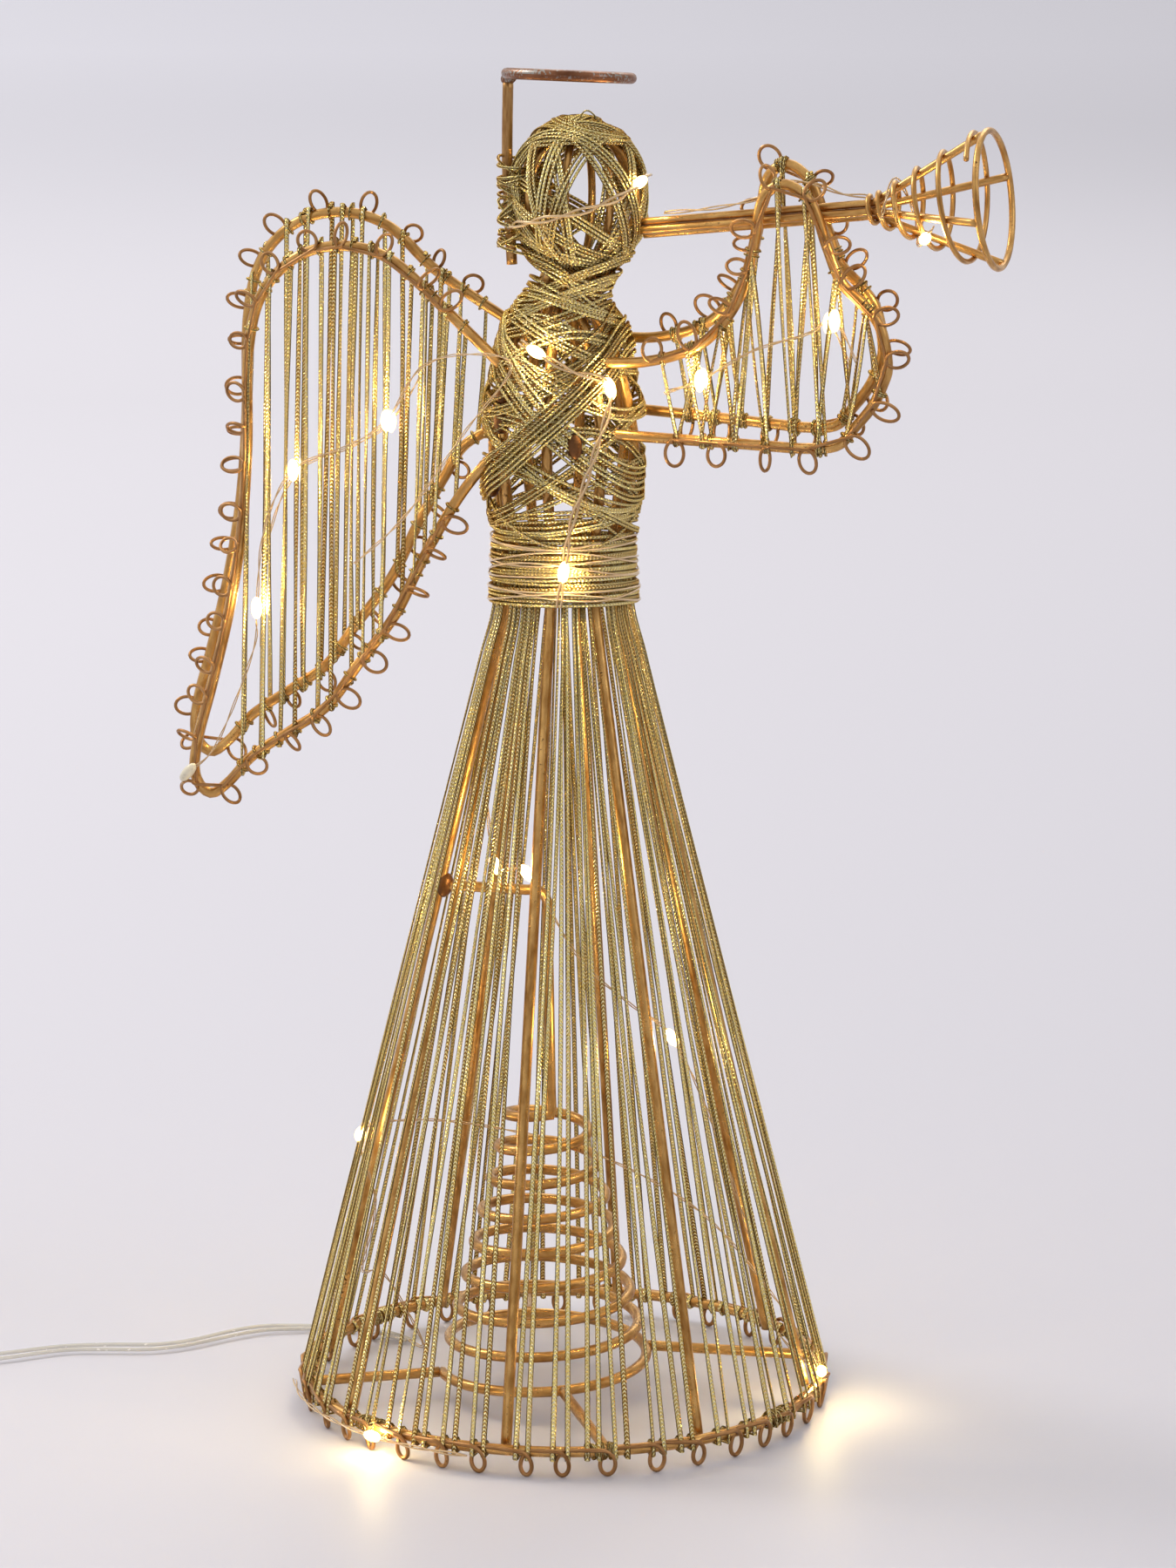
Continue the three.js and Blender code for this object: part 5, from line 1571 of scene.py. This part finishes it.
@dataclass
class LightString(Figure):
    """Two fine wires with lit resin drops."""

    name: str = ""
    spots: Sequence[Array] = ()
    drops: Sequence[int] = ()
    pale: Sequence[int] = ()
    wire: float = 0.2
    upright: bool = False
    drop: float = 1.3
    length: float = 5.0
    power: float = 0.02
    resin_size: Pair = (5.4, 1.3)
    lamp_size: float = 0.0018
    lamp_colour: Colour = srgb(255, 226, 160)

    def build(self) -> None:
        """Makes the wires, the drops and their lamps."""
        path = spline(self.spots, 1.2)
        heading = units(np.gradient(path, axis=0))
        aside = units(np.cross(heading, UP + vec(0.01, 0.02, 0)))
        other = np.cross(heading, aside)
        turn = np.arange(len(path)) * 0.42 + self.jitter(3)
        wires = Strands(f"{self.name} wire")
        for phase in (0.0, math.pi):
            swing = np.cos(turn + phase)[:, None] * aside + np.sin(turn + phase)[:, None] * other
            wires.tube(path + 1.6 * self.wire * swing, self.wire, 6)
        wires.make(self.finishes.wire, Body.TOPPER, [self.name])
        bulbs = Strands(f"{self.name} drops")
        resin = Strands(f"{self.name} resin")
        for index in range(len(self.spots)):
            ahead = self.spots[min(index + 1, len(self.spots) - 1)] - self.spots[max(index - 1, 0)]
            if index in self.pale:
                resin.blob(self.spots[index], ahead, *self.resin_size)
            if index in self.drops:
                bulbs.blob(self.spots[index], UP if self.upright else ahead, self.length, self.drop)
                self._lamp(self.spots[index])
        if bulbs.number:
            lit = bulbs.make(self.finishes.drop, Body.TOPPER)
            lit.visible_shadow = False
        if resin.number:
            resin.make(self.finishes.tape, Body.TOPPER)

    def _lamp(self, spot: Array) -> None:
        """Adds the light of one drop.

        Args:
            spot: Place of the drop.
        """
        data = bpy.data.lights.new(f"{self.name} lamp", "POINT")
        data.energy = self.power
        data.color = self.lamp_colour[:3]
        data.shadow_soft_size = self.lamp_size
        lamp = bpy.data.objects.new(data.name, data)
        lamp.location = spot * MM
        bpy.context.scene.collection.objects.link(lamp)
        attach(lamp, Body.TOPPER.value)


@dataclass
class Lights(Figure):
    """All light strings of the figure."""

    trumpet: Trumpet | None = None
    clear: float = 2.1
    fine: float = 0.14
    wing_off: float = 10.65
    sleeve_off: float = 0.55
    torso_out: float = 6.6
    skirt_in: float = 3.45
    hem: Pair = (63.35, 4.8)
    head_centre: Pair = (3.5, 279.8)
    head_reach: Pair = (16.7, 19.2)
    wing_start: Sequence[Triple] = (
        (-46, -12, 197), (-33, -15, 209), (-18, -19.5, 229), (-7, -20.6, 244), (-18, -17, 246),
    )
    wing_tip: Sequence[Pair] = ((-79, 154), (-86, 147), (-87.5, 144))
    wing_spots: Sequence[Pair] = (
        (-30, -2), (-38, -14), (-47, -20), (-60, -26), (-67, -40), (-69, -58), (-70, -68),
    )
    sleeve_spots: Sequence[Pair] = ((26, -8), (34, -5), (46, 2), (58, 6), (64, 9), (69, 0))
    torso_spots: Sequence[Pair] = (
        (-112, 249), (-97, 247), (-72, 243), (-46, 239), (-60, 224), (-72, 209), (-77, 198), (-80, 190),
    )
    wing_shift: Pair = (-5.9, -3.7)
    sleeve_shift: Pair = (-3.5, -2.1)
    head_spots: Sequence[Pair] = (
        (-167, 273.6), (-145, 274.2), (-120, 275.4), (-95, 276.8), (-70, 278.6), (-45, 281), (-20, 284),
        (0, 285.2),
    )
    horn_spots: Sequence[Triple] = (
        (6, 2.2, 120), (18, 2.0, 110), (29, 3.4, 100), (34, 6.5, 110), (40, 5.5, 95), (47, 2.4, 90),
        (53, 1.9, 40), (55, 1.9, -60), (57, 2.2, -170), (59, 2.3, -280), (61, 2.4, -380),
        (63.5, 2.4, -460), (67, 2.4, -500), (70, 2.6, -520),
    )
    hem_angles: Sequence[float] = (198, 208, 219, 230, 240, 250, 258, 263)
    skirt_spots: Sequence[Pair] = (
        (-165, 0.9), (-142, 0.79), (-118, 0.685), (-97, 0.68), (-70, 0.58), (-48, 0.52), (-29, 0.47),
        (-14, 0.35), (-6, 0.215), (-2, 0.08), (0, 0.02), (25, 0.08), (60, 0.155), (95, 0.22),
        (130, 0.265), (165, 0.3), (193, 0.312), (205, 0.24), (200, 0.166), (180, 0.11), (162, 0.08),
    )
    skirt_out: dict[int, float] = field(default_factory=lambda: {10: 8.4, 15: 1.5, 16: 7.4, 17: 1.5})
    lead_join: Pair = (-44.8, 26.0)

    def string(self, name: str, spots: Sequence[Array], drops: Sequence[int], **more: Any) -> None:
        """Makes one string.

        Args:
            name: CAD node that it stands for.
            spots: Points that it passes.
            drops: Points with a lit drop.
            **more: Further fields of the string.
        """
        LightString(self.shape, self.finishes, 31 + len(name), name, spots, drops, **more).build()

    def build(self, hands: dict[Side, float]) -> None:
        """Makes the strings.

        Args:
            hands: Distance of each hand to the left of the middle.
        """
        for side in Side:
            sign = side.value
            self._wing(side, sign)
            body = self.shape.sleeve_apart * sign
            root = self.shape.sleeve_root
            lean = (hands[side] - body) / self.shape.hold
            off = sign * (self.sleeve_off + self.clear) * math.hypot(1, lean)
            dx, dz = self.sleeve_shift if side is Side.LEFT else (0.0, 0.0)
            spots = [vec(x + dx, body + lean * (x + dx) + off, root + z + dz) for x, z in self.sleeve_spots]
            name = f"lights_{side.name.lower()}_sleeve"
            self.string(name, spots, (1, 4), upright=True, wire=self.fine)
        self.string("lights_head", [self._head(a, z) for a, z in self.head_spots], (6,), wire=0.36)
        chest = [self.shape.at(math.radians(a), z, self.torso_out) for a, z in self.torso_spots]
        self.string("lights_torso", chest, (1, 3, 6), power=0.026, wire=0.32)
        horn = self.trumpet
        under = [horn.at(x, horn.flare(x) + off, math.radians(a)) for x, off, a in self.horn_spots]
        self.string("lights_trumpet", under, (len(under) - 2,))
        self._skirt()
        hem = [polar(self.hem[0], math.radians(a), self.hem[1]) for a in self.hem_angles]
        self.string("lights_hem", hem, (4,))

    def _wing(self, side: Side, sign: int) -> None:
        """Makes the string of one wing.

        Args:
            side: Side of the figure.
            sign: Its sign.
        """
        y = sign * (self.wing_off + self.clear)
        dx, dz = self.wing_shift if side is Side.LEFT else (0.0, 0.0)
        spots = [vec(x + dx, y, self.shape.wing_root + z + dz) for x, z in self.wing_spots]
        lit = np.array([1, 3, 5])
        pale: Sequence[int] = ()
        if side is Side.RIGHT:
            root = [vec(*spot) for spot in self.wing_start]
            spots = [*root, *spots, *(vec(x, y, z) for x, z in self.wing_tip)]
            lit = lit + len(root)
            pale = (len(spots) - 2,)
        name = f"lights_{side.name.lower()}_wing"
        self.string(name, spots, lit.tolist(), pale=pale, upright=True, wire=self.fine)

    def _head(self, angle: float, z: float) -> Array:
        """Point on the head's thread.

        Args:
            angle: Angle in degrees.
            z: Height.

        Returns:
            The point.
        """
        forward, middle = self.head_centre
        wide, tall = self.head_reach
        rise = (z - middle) / tall
        return polar(wide * math.sqrt(1 - rise**2), math.radians(angle), z) + vec(forward, 0, 0)

    def _skirt(self) -> None:
        """Makes the string that winds down inside the skirt to the lead."""
        low, high = self.shape.hoop_height, self.shape.waist_low
        spots = []
        for angle, share in self.skirt_spots:
            z = low + (high - low) * share
            out = self.skirt_out.get(len(spots), 0.0)
            spots.append(polar(float(self.shape.radius(z)) - self.skirt_in + out, math.radians(angle), z))
        spots += [vec(self.lead_join[0] * 0.9, self.lead_join[1] * 0.86, 2.0), vec(*self.lead_join, 1.1)]
        self.string("lights_skirt", spots, (2, 3, 6, 10, 16), power=0.03, wire=0.15)


# Lead and battery box


@dataclass
class Lead(Figure):
    """Clear twin lead along the floor to a tied coil and the battery box."""

    turn: float = math.radians(13)
    diameter: float = 2.0
    strand: float = 0.46
    apart: float = 0.74
    play: float = 0.2
    parting: Pair = (170.0, 0.95)
    rest: float = 1.1
    route: Sequence[Pair] = (
        (-38, 35.5), (-43.9, 40.9), (-50, 44.2), (-55.2, 45.2), (-60.6, 45.5), (-66.8, 45.6), (-72.8, 45),
        (-77.6, 43), (-82, 40), (-90, 34), (-95, 31.4), (-100.6, 30), (-110.5, 30), (-121, 29), (-134, 23.5),
        (-143.5, 19.8), (-153, 17.9), (-163, 17.4),
    )
    coil: Pair = (-176.0, 31.0)
    coil_radius: float = 13.6
    coil_pitch: float = 2.55
    coil_turns: float = 4.25
    coil_low: float = 2.1
    coil_high: float = 4.55
    box_front: float = 47.0
    tie_heights: Pair = (0.4, 6.3)
    tie_reach: Pair = (4.4, 15.6)
    tie_angle: float = math.radians(60)
    tie_width: float = 2.0
    tie_flat: float = 0.2

    def world(self, points: Iterable[Sequence[float]]) -> Array:
        """Points of the lead's frame in the figure's frame.

        Args:
            points: Points in the lead's frame.

        Returns:
            The points, turned about the axis.
        """
        x, y, z = np.asarray(list(points), dtype=float).T
        cos, sin = math.cos(self.turn), math.sin(self.turn)
        return np.stack([x * cos - y * sin, x * sin + y * cos, z], axis=1)

    def line(self) -> Array:
        """Centre line from the figure to the box, in the lead's frame.

        Returns:
            Points about a millimetre apart.
        """
        points = [(x, y, self.rest) for x, y in self.route[:-1]]
        points.append((*self.route[-1], self.coil_low - 0.1))
        points.append((self.coil[0] + 4, self.coil[1] - self.coil_radius, self.coil_low))
        half = self.coil_turns / 2
        for turns in np.arange(0, self.coil_turns + 1e-6, 1 / 24):
            inward = half - abs(turns - half)
            climb = min(max((turns - half + 0.25) / 0.5, 0), 1)
            angle = -math.pi / 2 - TURN * turns
            radius = self.coil_radius - self.coil_pitch * inward
            z = self.coil_low + (self.coil_high - self.coil_low) * climb
            x, y, _ = polar(radius, angle, z)
            points.append((self.coil[0] + x, self.coil[1] + y, z))
        tail = points[-1]
        for share in (0.3, 0.65, 1.0):
            points.append((tail[0], tail[1] + (self.box_front + 0.2 - tail[1]) * share, tail[2]))
        return spline(points, 1.0)

    def build(self) -> None:
        path = self.world(self.line())
        aside = units(np.cross(np.gradient(path, axis=0), UP))
        lead = Strands("twin lead")
        along = np.arange(len(path))
        parted = self.parting[1] * np.sin(math.pi * np.clip(along / self.parting[0], 0, 1))
        apart = (self.apart + self.play * np.sin(along * 0.19) + parted)[:, None]
        for sign in (1, -1):
            lead.tube(path + sign * apart * aside, self.strand, 10)
        cord = lead.make(self.finishes.lead, Body.TOPPER, ["lead_cord", "lead_coil"])
        tie = self._tie()

    def _tie(self) -> bpy.types.Object:
        """Makes the band round the coil.

        Returns:
            The band.
        """
        low, high = self.tie_heights
        near, far = self.tie_reach
        corners = [(near, low), (far, low), (far, high), (near, high)]
        line = []
        for i, (r, z) in enumerate(corners):
            after = corners[(i + 1) % 4]
            for share in np.linspace(0.08, 0.92, 6):
                line.append((r + (after[0] - r) * share, z + (after[1] - z) * share))
        cos, sin = math.cos(self.tie_angle), math.sin(self.tie_angle)
        points = [(self.coil[0] + r * cos, self.coil[1] + r * sin, z) for r, z in line]
        band = Strands("coil tie band")
        across = self.world([(-sin, cos, 0)])[0]
        band.tube(self.world(points), self.tie_width, 10, closed=True, flat=self.tie_flat, lead=across)
        return band.make(self.finishes.tie, Body.TOPPER, ["coil_tie"])


@dataclass
class BatteryBox(Figure):
    """Finishes of the battery box, its cover, switch and cells."""

    bevel: float = 0.0004

    def dress(self) -> None:
        """Gives each node its finish and softens the moulded edges."""
        for name, finish in (
            ("battery_box", self.finishes.box),
            ("battery_cover", self.finishes.box),
            ("switch_slider", self.finishes.switch),
            ("battery_1", self.finishes.cell),
            ("battery_2", self.finishes.cell),
        ):
            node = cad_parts[name]
            node.data.materials.clear()
            node.data.materials.append(finish.material())
            soft = node.modifiers.new("soft edges", "BEVEL")
            soft.width = self.bevel
            soft.segments = 2
            soft.limit_method = "ANGLE"
            LOG.info("%s: %s", name, finish.name)


# Studio


@dataclass
class Studio:
    """Camera, floor, world and lamps."""

    bearing: float = math.radians(13)
    distance: float = 1.150
    height: float = 0.3838
    shift: float = 0.0055
    pitch: float = math.radians(11.7)
    lens: float = 117.66
    floor_radius: float = 12.0
    floor_sides: int = 96
    floor_near: Colour = srgb(204, 202, 210)
    # painted light: the floor's paler colour far off
    floor_far_painted_light: Colour = srgb(240, 238, 248)
    # painted shade: the floor's dimmer colour to the right
    floor_painted_shade: Colour = srgb(184, 182, 190)
    floor_run: Pair = (1.8, 5.0)
    floor_reach: float = 0.5
    floor_painted_shade_span: Pair = (-0.12, 0.12)
    floor_painted_shade_share: float = 0.5
    floor_cloud: float = 0.02
    room_dim: Colour = srgb(188, 184, 184)
    room_bright: Colour = srgb(255, 255, 255)
    room_power: float = 0.95
    aim_height: float = 0.14

    def place(self, right: float, forward: float, up: float) -> Vector:
        """Point given along the picture's right, into the picture and up, in metres.

        Args:
            right: Distance to the right.
            forward: Distance into the picture.
            up: Height.

        Returns:
            The point.
        """
        cos, sin = math.cos(self.bearing), math.sin(self.bearing)
        return Vector((cos * right - sin * forward, sin * right + cos * forward, up))

    def camera(self) -> None:
        """Sets up the camera."""
        data = bpy.data.cameras.new("camera")
        data.lens = self.lens
        data.sensor_width = 36
        data.clip_end = 60
        data.clip_start = 0.05
        camera = bpy.data.objects.new("camera", data)
        camera.location = self.place(self.shift, -self.distance, self.height)
        camera.rotation_euler = (math.pi / 2 - self.pitch, 0, self.bearing)
        bpy.context.scene.collection.objects.link(camera)
        bpy.context.scene.camera = camera

    def build(self) -> None:
        """Makes the floor, the world and the lamps."""
        self._floor()
        self._world()
        self._lamp("key", (-2.2, 1.1, 2.5), 1.0, 44.0, srgb(255, 250, 246))
        self._lamp("fill", (2.2, -1.4, 1.6), 1.8, 12.0, srgb(240, 244, 255))
        self._lamp("back", (0.6, 2.2, 2.0), 1.6, 16.0, srgb(255, 252, 246))
        bpy.context.scene.view_settings.view_transform = "Standard"

    def _floor(self) -> None:
        """Makes the pale floor, with painted light that makes it paler far off and painted shade that makes
        it dimmer to the right.
        """
        count = self.floor_sides
        angle = TURN * np.arange(count) / count
        rim = np.stack([np.cos(angle), np.sin(angle), np.zeros(count)], axis=1) * self.floor_radius
        mesh = bpy.data.meshes.new("floor")
        mesh.from_pydata(rim.tolist(), [], [list(range(count))])
        floor = bpy.data.objects.new("floor", mesh)
        bpy.context.scene.collection.objects.link(floor)
        material = bpy.data.materials.new("floor")
        material.use_nodes = True
        graph = Graph(material.node_tree)
        at = graph.rest()
        cloud = graph.noise(at, 2.0, 2.0)
        depth = graph.dot(at, self.place(0, 1, 0))
        # Painted shade: the floor is mixed towards the dim colour on the right of the picture, with a cloudy
        # edge.
        reach = (depth + self.distance).math("MAXIMUM", self.floor_reach)
        aside = graph.dot(at, self.place(1, 0, 0)) + (cloud - 0.5) * self.floor_cloud
        fall = (aside / reach).span(*self.floor_painted_shade_span)
        # Painted light: the floor turns paler further into the picture.
        pale = graph.mix(depth.span(*self.floor_run), self.floor_near, self.floor_far_painted_light)
        # Mixes the painted shade over the floor.
        colour = graph.mix(fall * self.floor_painted_shade_share, pale, self.floor_painted_shade)
        graph.close(graph.principled(Base_Color=colour, Roughness=0.55, Specular_IOR_Level=0.2))
        mesh.materials.append(material)

    def _world(self) -> None:
        """Makes the room's light: brighter to the left and above, dimmer on the camera's side."""
        world = bpy.data.worlds.new("room")
        world.use_nodes = True
        bpy.context.scene.world = world
        graph = Graph(world.node_tree)
        way = graph.node("ShaderNodeTexCoord", None, None, "Generated")
        bright = self.place(-0.6, 0.55, 0.58)
        toward = graph.dot(way, bright)
        colour = graph.mix(toward.span(-0.75, 0.85), self.room_dim, self.room_bright)
        shade = graph.node("ShaderNodeBackground", None, {"Color": colour, "Strength": self.room_power})
        graph.node("ShaderNodeOutputWorld", None, {"Surface": shade})

    def _lamp(self, name: str, at: Triple, size: float, power: float, colour: Colour) -> None:
        """Adds a soft lamp that points at the figure.

        Args:
            name: Its name.
            at: Place along the picture's right, into it and up.
            size: Width of the lamp.
            power: Watts.
            colour: Its colour.
        """
        data = bpy.data.lights.new(name, "AREA")
        data.energy = power
        data.size = size
        data.color = colour[:3]
        lamp = bpy.data.objects.new(name, data)
        lamp.location = self.place(*at)
        aim = Vector((0, 0, self.aim_height)) - lamp.location
        lamp.rotation_euler = aim.to_track_quat("-Z", "Y").to_euler()
        bpy.context.scene.collection.objects.link(lamp)


def main() -> None:
    """Builds the topper and its studio."""
    logging.basicConfig(level=logging.INFO, format="%(message)s")
    studio = Studio()
    studio.camera()
    shape = BodyShape()
    finishes = Finishes()
    Lead(shape, finishes, 2).build()
    BatteryBox(shape, finishes).dress()
    for part, seed in ((Frame, 3), (Hem, 4), (Skirt, 5), (Bands, 6), (Head, 7), (Halo, 8), (Mount, 9)):
        part(shape, finishes, seed).build()
    trumpet = Trumpet(shape, finishes, 10)
    trumpet.build()
    hands = {side: trumpet.hand(side) for side in Side}
    for side in Side:
        wing(shape, finishes, side).build()
        sleeve(shape, finishes, side, hands[side]).build()
    Lights(shape, finishes, 30, trumpet).build(hands)
    studio.build()


if __name__ == "__main__":
    main()
